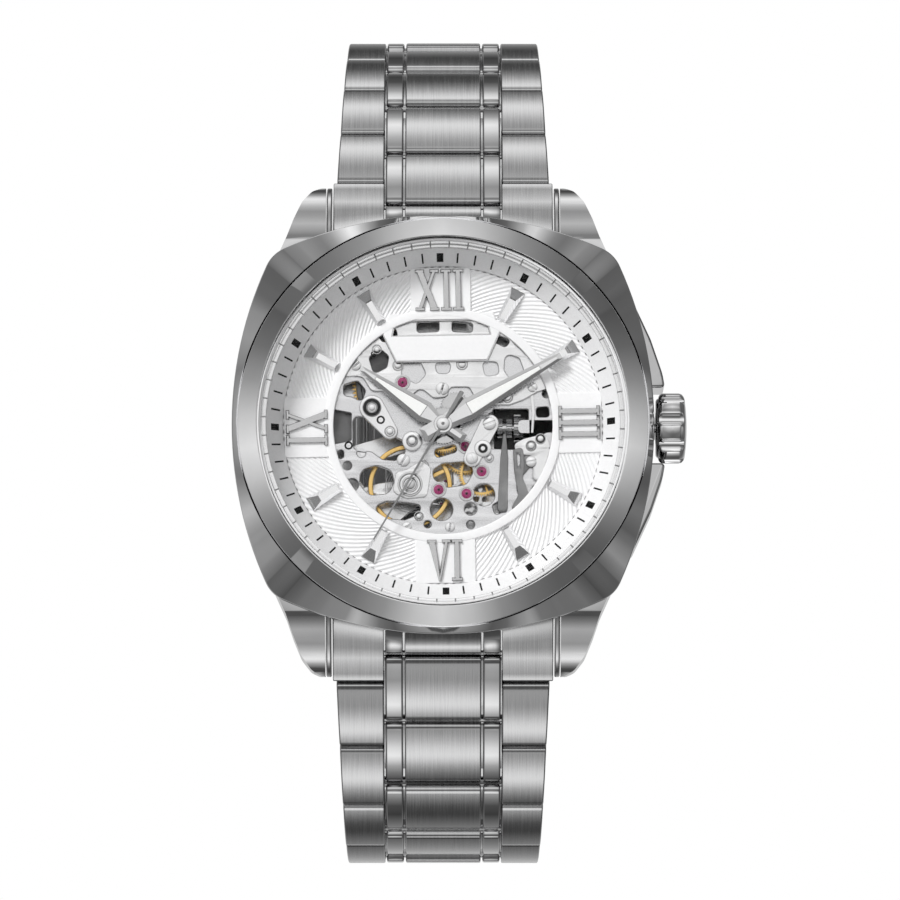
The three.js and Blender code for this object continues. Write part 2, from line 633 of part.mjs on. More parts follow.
/** The wheels that carry power from the barrel to the escapement. */
function addTrain(watch) {
  part(watch, 'mainspring_barrel', mainspringBarrel(), PLATE);
  part(watch, 'ratchet_wheel', flatWheel(BARREL, 4.82, 3.65, 3.95, 0.62), STEEL);
  part(watch, 'crown_wheel', flatWheel(CROWN_WHEEL, 4.02, 3.65, 3.95, 0.7), STEEL);
  part(watch, 'centre_wheel', wheel({
    at: [0, 0], radius: 2.58, bottom: 5.85, top: 6.02, bore: 0.2,
    pinion: { radius: 0.78, bottom: 4.95, top: 5.9 },
    arbor: { radius: 0.32, bottom: 4.85, top: 6.9 },
  }), GOLD);
  part(watch, 'third_wheel', wheel({
    at: THIRD, radius: 2.58, bottom: 4.4, top: 4.57,
    pinion: { radius: 0.28, bottom: 5.7, top: 6.1 },
    arbor: TRAIN_ARBOR,
  }), GOLD);
  part(watch, 'fourth_wheel', wheel({
    at: FOURTH, radius: 2.34, bottom: 5.2, top: 5.37,
    pinion: { radius: 0.3, bottom: 4.3, top: 4.7 },
    arbor: TRAIN_ARBOR,
  }), GOLD);
  part(watch, 'escape_wheel', wheel({
    at: ESCAPE, radius: 1.75, bottom: 4.98, top: 5.12,
    pinion: { radius: 0.2, bottom: 5.15, top: 5.6 },
    arbor: TRAIN_ARBOR,
  }), STEEL);
  part(watch, 'pallet_fork', palletFork(), STEEL);
  part(watch, 'balance_wheel', balanceWheel(), GOLD);
}

/** The wheels under the dial that drive the hour hand from the minute hand's pipe. */
function addMotionWorks(watch) {
  const cannon = turned([
    [0.38, 7.15], [0.75, 7.15], [0.75, 7.45], [0.48, 7.45], [0.48, 9.3], [0.38, 9.3],
  ], 14);
  part(watch, 'cannon_pinion', cannon.subtract(ring(0, 0.4, 6, 10, 14)), STEEL);
  part(watch, 'hour_wheel', turned([
    [0.6, 7.55], [1.95, 7.55], [1.95, 7.75], [0.78, 7.75], [0.78, 8.9], [0.6, 8.9],
  ], 24), STEEL);
  part(watch, 'minute_wheel', turned([
    [0, 6.6], [0.2, 6.6], [0.2, 7.15], [1.45, 7.15], [1.45, 7.35], [0.3, 7.35], [0.3, 7.75],
    [0, 7.75],
  ], 20, MINUTE_WHEEL), STEEL);
}

/** The stem, its pinions, the setting lever and the yoke. */
function addKeylessWorks(watch) {
  const stem = barX(STEM_R, 6.2, CROWN_INNER + 0.3, 0, STEM_Z, 12);
  part(watch, 'winding_stem', stem.add(barX(STEM_TIP_R, 3.4, 6.3, 0, STEM_Z, 8)), STEEL);
  const bored = (radius, left, right, bore) => barX(radius, left, right, 0, STEM_Z, 20)
    .subtract(barX(bore, left - 1, right + 1, 0, STEM_Z, 12));
  const grooved = bored(0.95, 5.4, 6.9, 0.52).subtract(bored(2, 5.95, 6.3, 0.7));
  part(watch, 'sliding_pinion', grooved, STEEL);
  part(watch, 'winding_pinion', bored(1.4, 7.05, 8.2, 0.52), STEEL);
  const lever = outline([
    [7.1, -4.6], [7.9, -5.0], [8.6, -4.2], [9.3, -2.6], [9.3, -1.4], [8.8, -1.4], [8.4, -2.6],
  ]);
  part(watch, 'setting_lever', prism(lever, KEYLESS_BOTTOM, KEYLESS_TOP), STEEL);
  const yoke = outline([
    [5.4, -8.6], [6.4, -8.6], [6.5, -3.2], [6.25, -0.75], [6.0, -0.75], [5.7, -3.2],
  ]);
  const finger = block([6.0, -1.25, 5.3], [6.25, -0.78, 7.2]);
  part(watch, 'yoke', prism(yoke, KEYLESS_BOTTOM, KEYLESS_TOP).add(finger), STEEL);
}

/** The crown's fluted outline, lobe by lobe. */
function crownOutline() {
  const points = [];
  for (let lobe = 0; lobe < CROWN_LOBES; lobe += 1) {
    const middle = (lobe * 2 * Math.PI) / CROWN_LOBES;
    for (const [turn, radius] of [
      [-CROWN_LOBE_HALF, CROWN_R - CROWN_LOBE_DROP], [0, CROWN_R],
      [CROWN_LOBE_HALF, CROWN_R - CROWN_LOBE_DROP], [Math.PI / CROWN_LOBES, CROWN_R - CROWN_GROOVE],
    ]) points.push([radius * Math.cos(middle + turn), radius * Math.sin(middle + turn)]);
  }
  return outline(points);
}

/** The fluted crown with its hollow skirt over the tube. */
function crownBody() {
  const grip = geometryOf(prism(crownOutline(), CROWN_INNER + 0.2, CROWN_OUTER - 0.35));
  const body = solid(laidAlongX(grip).translate(0, 0, STEM_Z))
    .add(barX(CROWN_FACE_R + 0.1, CROWN_INNER, CROWN_INNER + 0.3, 0, STEM_Z, 24))
    .add(barX(CROWN_FACE_R, CROWN_OUTER - 0.4, CROWN_OUTER, 0, STEM_Z, 24));
  return body.subtract(barX(CROWN_SKIRT_BORE_R, 20, CROWN_INNER + 1.2, 0, STEM_Z, 16))
    .subtract(barX(STEM_R + 0.05, 20, CROWN_INNER + 1.6, 0, STEM_Z, 12));
}

function addMovement(watch) {
  part(watch, 'movement_holder', movementHolder(), SILVER);
  part(watch, 'main_plate', mainPlate(), PLATE);
  part(watch, 'barrel_bridge', barrelBridge(), PLATE);
  part(watch, 'train_bridge', trainBridge(), PLATE);
  part(watch, 'balance_cock', balanceCock(), PLATE);
  part(watch, 'rotor', rotor(), BRUSHED);
  addTrain(watch);
  addMotionWorks(watch);
  addKeylessWorks(watch);
  const tube = barX(TUBE_R, BORE_R + 0.2, CROWN_INNER - 0.1, 0, STEM_Z, 16);
  part(watch, 'crown_tube', tube.subtract(barX(TUBE_BORE_R, 15, 23, 0, STEM_Z, 12)), STEEL);
  part(watch, 'crown', crownBody(), POLISHED);
}

/** The ring that centres the movement in the case and carries the dial. */
function movementHolder() {
  const body = ring(PLATE_R + 0.1, BORE_R - 0.1, 4.0, DIAL_BOTTOM - 0.05, ROUND);
  return body.subtract(barX(0.9, 12, 18, 0, STEM_Z, 12));
}

// ---------------------------------------------------------------- bracelet
/** Half the bracelet's width at a distance along it. */
function braceletHalf(distance) {
  const left = 1 - Math.min(Math.max(distance / BRACELET_LENGTH, 0), 1);
  return BRACELET_HALF_END + (BRACELET_HALF_START - BRACELET_HALF_END) * left ** 1.6;
}

/** Side view of a link column: flat at one end, rounded about a hinge at the other. */
function columnOutline(flat, hinge) {
  const side = Math.sign(hinge - flat);
  const end = hinge + side * LINK_END;
  const [low, high] = [-LINK_HALF_THICK, LINK_HALF_THICK];
  const underside = (angle) => [
    hinge + side * LINK_END * Math.cos(angle * DEG),
    -LINK_END * Math.sin(angle * DEG),
  ];
  return outline([
    [flat, low], [flat, high - 0.25], [flat + side * 0.3, high],
    [(flat + end) / 2, high + LINK_CROWN], [end - side * 0.3, high], [end, high - 0.25],
    [end, 0], underside(32), underside(61),
  ]);
}

/** One bracelet link: two wide outer columns and a middle column set back by half a link. */
function link(number) {
  const start = number * PITCH;
  const half = braceletHalf(start);
  const outer = columnOutline(LINK_START, PITCH);
  const middle = columnOutline(PITCH - LINK_START, 0);
  const sides = [across(outer, -half, -OUTER_INNER), across(outer, OUTER_INNER, half)];
  const webHalf = OUTER_INNER + 0.4;
  const web = block([-webHalf, 2.4, -1.2], [webHalf, 5.6, 1.05]);
  const geometry = geometryOf(joined([...sides, across(middle, -TONGUE_HALF, TONGUE_HALF), web]));
  const place = geometry.getAttribute('position');
  for (let i = 0; i < place.count; i += 1) {
    const x = place.getX(i);
    if (Math.abs(x) < half - 0.01) continue;
    place.setX(i, Math.sign(x) * braceletHalf(start + place.getY(i)));
  }
  return solid(geometry);
}

/** A chain of links from a first hinge, each turned on from the one before. */
function addChain(parent, side, angles) {
  let frame = parent;
  let turnedSoFar = 0;
  angles.forEach((angle, number) => {
    const hinge = new THREE.Group();
    hinge.position.set(0, number === 0 ? HINGE_Y : PITCH, number === 0 ? HINGE_Z : 0);
    hinge.rotation.x = -(angle - turnedSoFar) * DEG;
    turnedSoFar = angle;
    frame.add(hinge);
    part(hinge, `link_${side}_${number + 1}`, link(number), BRUSHED);
    frame = hinge;
  });
  return frame;
}

// ---------------------------------------------------------------- clasp
/** A point given along and above the clasp's arc, in the clasp's own y and z. */
function onClasp(along, above) {
  const half = Math.asin(CLASP_SPAN / 2 / CLASP_R);
  const angle = along / CLASP_R - half;
  return [
    CLASP_SPAN / 2 + (CLASP_R + above) * Math.sin(angle),
    (CLASP_R + above) * Math.cos(angle) - CLASP_R * Math.cos(half),
  ];
}

/** A band that follows the clasp's arc, drawn across from one x to another. */
function claspBand(from, to, low, high, left, right) {
  const steps = Math.max(1, Math.round((to - from) / 9));
  const upper = [];
  const lower = [];
  for (let k = 0; k <= steps; k += 1) {
    const along = from + ((to - from) * k) / steps;
    upper.push(onClasp(along, high));
    lower.unshift(onClasp(along, low));
  }
  return across(outline([...upper, ...lower]), left, right);
}

/** A round bar along x at a place on the clasp. */
function claspBar(radius, along, above, left, right, segments = 12) {
  const [y, z] = onClasp(along, above);
  return barX(radius, left, right, y, z, segments);
}

/** The clasp's cover: a curved tray whose walls hold the hinge pin and the pushers. */
function claspCover() {
  const wall = CLASP_HALF - CLASP_WALL;
  let body = joined([
    claspBand(1.9, CLASP_PIN_S, 1.0, 2.1, -CLASP_HALF, CLASP_HALF),
    claspBand(1.9, CLASP_PIN_S + 1.2, -1.7, 1.1, wall, CLASP_HALF),
    claspBand(1.9, CLASP_PIN_S + 1.2, -1.7, 1.1, -CLASP_HALF, -wall),
    claspBand(0.3, 3.4, -0.9, 1.35, -TONGUE_HALF, TONGUE_HALF),
    claspBar(1.4, 0, 0, -TONGUE_HALF, TONGUE_HALF, 16),
    claspBar(0.5, CLASP_PIN_S, 0.05, -wall - 0.2, wall + 0.2, 10),
  ]);
  for (const side of [-1, 1]) {
    const [left, right] = side > 0 ? [wall - 1, 11] : [-11, -wall + 1];
    body = body.subtract(claspBand(PUSHER_S - 2.6, PUSHER_S + 2.6, -0.9, 0.7, left, right));
  }
  return body;
}

/** The middle blade, hinged to the cover at one end and to the inner blade at the other. */
function claspMiddleBlade() {
  let body = claspBand(5.9, CLASP_PIN_S, -0.4, 0.5, -BLADE_HALF, BLADE_HALF);
  body = body.add(claspBar(0.95, CLASP_PIN_S, 0.05, -BLADE_HALF, BLADE_HALF, 16));
  body = body.subtract(claspBar(0.65, CLASP_PIN_S, 0.05, -CLASP_HALF, CLASP_HALF, 12));
  body = body.subtract(claspBand(0, 9.4, -3, 3, -BLADE_SLOT_HALF, BLADE_SLOT_HALF));
  body = body.subtract(claspBand(13, 38, -3, 3, -3.6, 3.6));
  const ear = BLADE_SLOT_HALF + 0.05;
  for (const [left, right] of [[-BLADE_HALF, -ear], [ear, BLADE_HALF]]) {
    body = body.add(claspBand(5.9, 8.2, -1.9, 0.2, left, right));
    body = body.subtract(claspBar(0.62, BLADE_PIN_S, BLADE_PIN_T, left - 0.5, right + 0.5, 12));
  }
  return body;
}

/** The inner blade, which ends in the eye for the last link on the 6 o'clock side. */
function claspInnerBlade() {
  const end = 2 * CLASP_R * Math.asin(CLASP_SPAN / 2 / CLASP_R);
  const half = INNER_BLADE_HALF;
  const pinHalf = BLADE_HALF - 0.1;
  return joined([
    claspBar(0.75, BLADE_PIN_S, BLADE_PIN_T, -half, half, 16),
    claspBar(0.48, BLADE_PIN_S, BLADE_PIN_T, -pinHalf, pinHalf, 10),
    claspBand(BLADE_PIN_S, end - 2.2, -1.65, -1.0, -half, half),
    claspBand(end - 3.0, end, -1.65, -0.6, -EYE_HALF, EYE_HALF),
    claspBar(1.2, end, 0, -EYE_HALF, EYE_HALF, 16),
  ]);
}

/** A release button in the wall of the cover. */
function claspPusher(side) {
  const wall = CLASP_HALF - CLASP_WALL;
  const [left, right] = side > 0 ? [wall - 0.3, CLASP_HALF + 0.6] : [-CLASP_HALF - 0.6, -wall + 0.3];
  return claspBand(PUSHER_S - 2.4, PUSHER_S + 2.4, -0.7, 0.5, left, right);
}

function addBracelet(watch) {
  const lastLink = addChain(watch, 12, LINK_ANGLES_12);
  const clasp = new THREE.Group();
  clasp.position.set(0, PITCH, 0);
  clasp.rotation.x = -(CLASP_ANGLE - LINK_ANGLES_12.at(-1)) * DEG;
  lastLink.add(clasp);
  part(clasp, 'clasp_cover', claspCover(), BRUSHED);
  part(clasp, 'clasp_middle_blade', claspMiddleBlade(), STEEL);
  part(clasp, 'clasp_inner_blade', claspInnerBlade(), STEEL);
  part(clasp, 'clasp_pusher_left', claspPusher(-1), POLISHED);
  part(clasp, 'clasp_pusher_right', claspPusher(1), POLISHED);
  const turnedRound = new THREE.Group();
  turnedRound.rotation.z = Math.PI;
  watch.add(turnedRound);
  addChain(turnedRound, 6, LINK_ANGLES_6);
}

// ---------------------------------------------------------------- the whole watch
const watch = new THREE.Group();
addCase(watch);
addDial(watch);
addHands(watch);
addMovement(watch);
addBracelet(watch);
watch.rotation.x = Math.PI / 2;

export default watch;
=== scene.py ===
import json
import math

import bmesh
import bpy
from mathutils import Matrix, Vector
from mathutils.geometry import tessellate_polygon

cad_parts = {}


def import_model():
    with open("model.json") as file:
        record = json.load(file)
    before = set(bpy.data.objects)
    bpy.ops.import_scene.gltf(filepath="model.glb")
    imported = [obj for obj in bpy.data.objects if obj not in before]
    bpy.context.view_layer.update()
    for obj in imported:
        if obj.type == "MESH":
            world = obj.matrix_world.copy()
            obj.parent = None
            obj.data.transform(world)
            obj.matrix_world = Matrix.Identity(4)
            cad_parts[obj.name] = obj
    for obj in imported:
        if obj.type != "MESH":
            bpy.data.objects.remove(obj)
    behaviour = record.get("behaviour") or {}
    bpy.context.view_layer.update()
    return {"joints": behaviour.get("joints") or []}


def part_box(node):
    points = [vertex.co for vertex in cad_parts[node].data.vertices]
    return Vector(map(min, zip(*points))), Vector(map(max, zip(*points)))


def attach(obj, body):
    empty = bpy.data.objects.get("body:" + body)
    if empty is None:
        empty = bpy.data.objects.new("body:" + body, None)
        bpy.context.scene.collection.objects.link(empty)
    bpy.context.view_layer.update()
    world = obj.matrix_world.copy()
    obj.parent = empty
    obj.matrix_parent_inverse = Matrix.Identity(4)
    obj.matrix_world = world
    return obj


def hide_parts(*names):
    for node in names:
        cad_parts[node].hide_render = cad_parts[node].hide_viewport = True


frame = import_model()

# The watch is drawn in its own millimetres: x towards 3 o'clock, y towards 12 o'clock and
# z up from the outer face of the case back. world() turns that into the frame's metres.
MM = 0.001
DEG = math.pi / 180


def world(x, y, z):
    """A point in watch millimetres as a point of the frame."""
    return (x * MM, -z * MM, y * MM)


def levels(node):
    """Lowest and highest z of a CAD node, in watch millimetres."""
    low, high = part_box(node)
    return -high.y / MM, -low.y / MM


def pivot(joint):
    """Where a joint of the frame sits, in watch millimetres."""
    found = next(j for j in frame["joints"] if j["name"] == joint)
    x, y, z = found["pos_m"]
    return (x / MM, z / MM, -y / MM)


# ---------------------------------------------------------------- driving dimensions
CASE_SIDE_R = 38.5  # radius of each bowed side of the cushion case
CASE_CORNER_R = 3.5
CASE_HALF = 21.0
CASE_INSET = 0.6
CASE_LOW, CASE_HIGH = 1.5, 8.7  # flat faces of the case middle
BEZEL_WALL = 9.4
GROOVE_R, GROOVE_Z = 20.46, 11.0
BEZEL_TOP_R = 18.45
DIAL_TURN = 1.03  # degrees that the dial sits turned anticlockwise
DIAL_OPENING = 10.9
DIAL_BAND = 11.8
DIAL_RIM = 15.97  # where the sloping minute ring starts
LUG_INNER = 11.1
LUG_MAIN = 11.72  # where the broad part of a lug starts
LUG_GROOVE = 0.1
LUG_TIP = 24.6
END_SLOPE = 29
PITCH = 8.0
LINK_END = 1.54
LINK_START = 1.66
LINK_EDGE = 1.08  # height of a link's face at its ends
LINK_STEP = 0.14  # how far the upper part of a link's ends stands back
LINK_APEX = 1.55  # height in its middle
LINK_HALF = 1.35
CENTRE_HALF = 3.82  # brushed middle column of the bracelet
STRIP_FROM, STRIP_TO = 4.0, 5.76  # polished strips beside it
OUTER_FROM = 5.9
LAST_ANGLE_6 = 162
CLASP_SPAN, CLASP_R, CLASP_ANGLE = 48.5, 120, 181.4
CLASP_HALF, CLASP_WALL = 9.3, 1.0
CLASP_PIN_S, BLADE_PIN_S, BLADE_PIN_T = 42.5, 7.0, -0.95
PUSHER_S = 22


# ---------------------------------------------------------------- shapes
class Shape:
    """Points in watch millimetres and the faces between them."""

    def __init__(self, verts=(), faces=()):
        self.verts, self.faces = list(verts), list(faces)

    def moved(self, matrix):
        return Shape([tuple(matrix @ Vector(v)) for v in self.verts], self.faces)

    def at(self, x, y, z=0.0, turn=0.0):
        return self.moved(Matrix.Translation((x, y, z)) @ Matrix.Rotation(turn * DEG, 4, "Z"))


def merged(*shapes):
    """Several shapes as one."""
    verts, faces = [], []
    for shape in shapes:
        start = len(verts)
        verts += shape.verts
        faces += [[i + start for i in face] for face in shape.faces]
    return Shape(verts, faces)


def circle(radius, at=(0, 0), steps=32):
    turn = 2 * math.pi / steps
    return [(at[0] + radius * math.cos(k * turn), at[1] + radius * math.sin(k * turn)) for k in range(steps)]


def arc(at, radius, start, end, steps=12):
    """Points of an arc from one angle to another, in degrees."""
    angles = [(start + (end - start) * k / steps) * DEG for k in range(steps + 1)]
    return [(at[0] + radius * math.cos(a), at[1] + radius * math.sin(a)) for a in angles]


def fillet(points, radius, steps=4):
    """An outline with its corners rounded. A point may carry its own radius as a third number."""
    out = []
    for k, point in enumerate(points):
        here = Vector(point[:2])
        back = Vector(points[k - 1][:2]) - here
        ahead = Vector(points[(k + 1) % len(points)][:2]) - here
        wanted = point[2] if len(point) > 2 else radius
        half = back.angle(ahead) / 2
        if wanted <= 0 or half > 88 * DEG:
            out.append(tuple(here))
            continue
        leg = min(wanted / math.tan(half), back.length * 0.48, ahead.length * 0.48)
        size = leg * math.tan(half)
        centre = here + (back.normalized() + ahead.normalized()).normalized() * (size / math.sin(half))
        turn = math.pi - 2 * half
        if back.x * ahead.y - back.y * ahead.x > 0:
            turn = -turn
        spoke = here + back.normalized() * leg - centre
        for j in range(steps + 1):
            out.append(tuple(centre + Matrix.Rotation(turn * j / steps, 2) @ spoke))
    return out


def bend(start, knee, end, steps):
    """Points of a curve between two ends that leans towards a knee."""
    start, knee, end = Vector(start), Vector(knee), Vector(end)
    shares = [k / steps for k in range(steps + 1)]
    return [tuple((1 - t) ** 2 * start + 2 * t * (1 - t) * knee + t * t * end) for t in shares]


def skin(rows, size, joined=False):
    """Quads between rows of points, each row a closed loop; joined closes the last row on the first."""
    faces = []
    for row in range(rows if joined else rows - 1):
        here, ahead = row * size, (row + 1) % rows * size
        faces += [[here + k, here + (k + 1) % size, ahead + (k + 1) % size, ahead + k] for k in range(size)]
    return faces


def flipped(faces):
    """The same faces, turned over."""
    return [[face[0], *face[:0:-1]] for face in faces]


def area(outline):
    """Signed area of an outline, positive if it runs anticlockwise."""
    return sum(a[0] * b[1] - b[0] * a[1] for a, b in zip(outline, outline[1:] + outline[:1])) / 2


def inset(outline, distance):
    """An outline moved to its left by a distance."""
    moved = []
    for k, here in enumerate(outline):
        a = Vector(here) - Vector(outline[k - 1])
        b = Vector(outline[(k + 1) % len(outline)]) - Vector(here)
        a, b = a.normalized(), b.normalized()
        left = Vector((-a.y - b.y, a.x + b.x))
        if left.length < 1e-6:
            moved.append(here)
            continue
        left.normalize()
        stretch = 1 / max(left.dot(Vector((-a.y, a.x))), 0.4)
        moved.append((here[0] + left.x * distance * stretch, here[1] + left.y * distance * stretch))
    return moved


def rounding(bevel, steps):
    """(inset, rise) along a quarter round."""
    return [
        (bevel * (1 - math.sin(k * math.pi / 2 / steps)), bevel * (1 - math.cos(k * math.pi / 2 / steps)))
        for k in range(steps + 1)
    ]


def prism(outline, low, high, bevel=0.04, holes=(), steps=2, steep=1.0):
    """A flat outline raised from low to high with rounded edges, taller than wide if steep is over 1."""
    loops = [outline if area(outline) > 0 else outline[::-1]]
    loops += [hole if area(hole) < 0 else hole[::-1] for hole in holes]
    curve = [(d, rise * steep) for d, rise in rounding(bevel, steps)] if bevel else [(0, 0)]
    rows = [(d, low + rise) for d, rise in curve] + [(d, high - rise) for d, rise in reversed(curve)]
    verts, faces, bottoms, tops = [], [], [], []
    for loop in loops:
        size, start = len(loop), len(verts)
        for d, z in rows:
            verts += [(x, y, z) for x, y in (inset(loop, d) if d else loop)]
        faces += [[start + i for i in face] for face in skin(len(rows), size)]
        bottoms.append(list(range(start, start + size)))
        tops.append(list(range(len(verts) - size, len(verts))))
    for rims, facing_up in ((bottoms, False), (tops, True)):
        corners = [i for rim in rims for i in rim]
        for triangle in tessellate_polygon([[Vector((*verts[i][:2], 0)) for i in rim] for rim in rims]):
            face = [corners[i] for i in triangle]
            is_up = area([verts[i][:2] for i in face]) > 0
            faces.append(face if is_up == facing_up else face[::-1])
    return Shape(verts, faces)


def laid_along_x(shape):
    """A shape drawn about z laid along x: z becomes x."""
    return Shape([(z, x, y) for x, y, z in shape.verts], shape.faces)


def across(outline, left, right, bevel=0.12, steps=2):
    """A side view (y, z) drawn across the watch from left to right."""
    return laid_along_x(prism(outline, left, right, bevel, steps=steps))


def across_twice(outline, near, far, bevel=0.12, steps=2):
    """A side view drawn across the watch between two distances, on its left and on its right."""
    return merged(across(outline, -far, -near, bevel, steps), across(outline, near, far, bevel, steps))


def lathe(profile, steps=96, at=(0, 0)):
    """A closed profile of (radius, z) points turned about z."""
    if area(profile) < 0:
        profile = profile[::-1]
    verts = []
    for k in range(steps):
        a = 2 * math.pi * k / steps
        verts += [(at[0] + r * math.cos(a), at[1] + r * math.sin(a), z) for r, z in profile]
    return Shape(verts, flipped(skin(steps, len(profile), True)))


def ring(inner, outer, low, high, at=(0, 0), steps=64, bevel=0.04):
    """A turned ring, or a disc if inner is 0, with rounded edges."""
    corners = [(inner, low, 0 if inner == 0 else bevel), (outer, low), (outer, high)]
    corners.append((inner, high, 0 if inner == 0 else bevel))
    return lathe(fillet(corners, bevel, 2), steps, at)


STEM_HEIGHT = pivot("crown_turn")[2]


def on_stem(shape):
    """A shape drawn about z laid along the winding stem."""
    return laid_along_x(shape).at(0, 0, STEM_HEIGHT)


def boolean(shape, cutter, how):
    """One shape cut by or joined with another."""
    made = []
    for name, part in (("keep", shape), ("tool", cutter)):
        mesh = bpy.data.meshes.new(name)
        mesh.from_pydata(part.verts, [], part.faces)
        work = bmesh.new()
        work.from_mesh(mesh)
        bmesh.ops.remove_doubles(work, verts=work.verts, dist=1e-5)
        work.to_mesh(mesh)
        work.free()
        made.append(bpy.data.objects.new(name, mesh))
        bpy.context.scene.collection.objects.link(made[-1])
    keep, tool = made
    modifier = keep.modifiers.new("cut", "BOOLEAN")
    modifier.object, modifier.operation, modifier.solver = tool, how, "MANIFOLD"
    bpy.context.view_layer.update()
    result = keep.evaluated_get(bpy.context.evaluated_depsgraph_get()).to_mesh()
    out = Shape([tuple(v.co) for v in result.vertices], [list(p.vertices) for p in result.polygons])
    for obj in made:
        mesh = obj.data
        bpy.data.objects.remove(obj)
        bpy.data.meshes.remove(mesh)
    return out


# ---------------------------------------------------------------- materials
class Finish:
    """A Principled material built up node by node."""

    def __init__(self, name, slot, **sockets):
        self.material = bpy.data.materials.new(name)
        self.material.use_nodes = True
        self.slot = slot
        self.tree = self.material.node_tree
        self.shader = next(n for n in self.tree.nodes if n.type == "BSDF_PRINCIPLED")
        for socket, value in sockets.items():
            self.shader.inputs[socket.replace("_", " ")].default_value = value
        self.place = self.tree.nodes.new("ShaderNodeTexCoord").outputs["Object"]

    def link(self, output, socket):
        self.tree.links.new(output, socket)

    def noise(self, scale, detail=3.0, rough=0.55):
        """Noise over the object, with its own scale along each axis, in repeats per metre."""
        mapping = self.tree.nodes.new("ShaderNodeMapping")
        mapping.inputs["Scale"].default_value = scale if hasattr(scale, "__len__") else (scale,) * 3
        noise = self.tree.nodes.new("ShaderNodeTexNoise")
        noise.inputs["Scale"].default_value = 1.0
        noise.inputs["Detail"].default_value = detail
        noise.inputs["Roughness"].default_value = rough
        self.link(self.place, mapping.inputs["Vector"])
        self.link(mapping.outputs["Vector"], noise.inputs["Vector"])
        return noise.outputs["Fac"]

    def maths(self, how, a, b):
        node = self.tree.nodes.new("ShaderNodeMath")
        node.operation = how
        for socket, value in zip(node.inputs, (a, b)):
            if hasattr(value, "is_output"):
                self.link(value, socket)
            else:
                socket.default_value = value
        return node.outputs[0]

    def colours(self, value, dark, light):
        """Base colour between two colours, chosen by a value from 0.3 to 0.7."""
        ramp = self.tree.nodes.new("ShaderNodeValToRGB")
        ramp.color_ramp.elements[0].position = 0.3
        ramp.color_ramp.elements[1].position = 0.7
        ramp.color_ramp.elements[0].color = (*dark, 1)
        ramp.color_ramp.elements[1].color = (*light, 1)
        self.link(value, ramp.inputs["Fac"])
        self.link(ramp.outputs["Color"], self.shader.inputs["Base Color"])

    def roughness(self, value, low, high):
        """Roughness between two amounts, chosen by a value from 0.3 to 0.7."""
        node = self.tree.nodes.new("ShaderNodeMapRange")
        for socket, number in (("From Min", 0.3), ("From Max", 0.7), ("To Min", low), ("To Max", high)):
            node.inputs[socket].default_value = number
        self.link(value, node.inputs["Value"])
        self.link(node.outputs["Result"], self.shader.inputs["Roughness"])

    def bump(self, value, height):
        """Relief of a height in metres."""
        node = self.tree.nodes.new("ShaderNodeBump")
        node.inputs["Strength"].default_value = 1.0
        node.inputs["Distance"].default_value = height
        self.link(value, node.inputs["Height"])
        self.link(node.outputs["Normal"], self.shader.inputs["Normal"])


def grey(level):
    """A barely cool grey."""
    return (level, level, level * 1.005)


def brushed_steel(name="brushed_steel", tone=0.48, rough=0.14, along=(11000, 160, 160)):
    """Steel brushed lengthwise: streaks are fine across and long along the bracelet."""
    look = Finish(name, "brushed_steel", Metallic=1.0)
    streaks = look.noise(along, 4.0, 0.65)
    look.colours(streaks, grey(tone * 0.86), grey(tone * 1.1))
    look.roughness(streaks, rough - 0.05, rough + 0.09)
    look.bump(streaks, 2.2e-6)
    return look


def polished_steel(name="polished_steel", tone=0.50, rough=0.09, slot="polished_steel"):
    """Polished steel with faint haze and hairline wear."""
    look = Finish(name, slot, Metallic=1.0)
    haze = look.noise(260, 4.0)
    scratches = look.noise((900, 5200, 1500), 2.0)
    look.colours(haze, grey(tone * 0.97), grey(tone * 1.03))
    look.roughness(look.maths("MULTIPLY", haze, scratches), rough * 0.6, rough * 1.5)
    look.bump(scratches, 1.5e-7)
    return look


def plated(name, dark, light, rough, slot, grain=9000, relief=1.2e-6):
    """Plated movement metal with a fine even grain."""
    look = Finish(name, slot, Metallic=1.0)
    fine = look.noise(grain, 3.0)
    broad = look.noise(420, 2.0)
    look.colours(broad, dark, light)
    look.roughness(fine, rough - 0.06, rough + 0.08)
    look.bump(fine, relief)
    return look


def perlage():
    """Nickel plate with a pearled surface: small overlapping ground discs."""
    look = Finish("nickel_plate", "nickel_plate", Metallic=1.0)
    cells = look.tree.nodes.new("ShaderNodeTexVoronoi")
    cells.inputs["Scale"].default_value = 1300
    cells.inputs["Randomness"].default_value = 0.25
    look.link(look.place, cells.inputs["Vector"])
    rings = look.maths("SINE", look.maths("MULTIPLY", cells.outputs["Distance"], 38.0), 0.0)
    fine = look.noise(12000, 2.0)
    look.colours(fine, (0.70, 0.70, 0.71), (0.80, 0.80, 0.81))
    look.roughness(fine, 0.2, 0.32)
    look.bump(look.maths("ADD", look.maths("MULTIPLY", rings, 0.5), fine), 6e-7)
    return look


def painted(name, slot, dark, light, rough, grain=3000, relief=4e-7, **sockets):
    """Lacquer, print or rubber: a coat with faint mottling and an orange-peel surface."""
    look = Finish(name, slot, **sockets)
    mottle = look.noise(grain, 3.0)
    look.colours(mottle, dark, light)
    look.roughness(mottle, rough - 0.04, rough + 0.06)
    look.bump(mottle, relief)
    return look


def ruby():
    look = painted("ruby", "ruby", (0.20, 0.008, 0.075), (0.34, 0.02, 0.13), 0.12, 2500)
    look.shader.inputs["Coat Weight"].default_value = 0.6
    return look


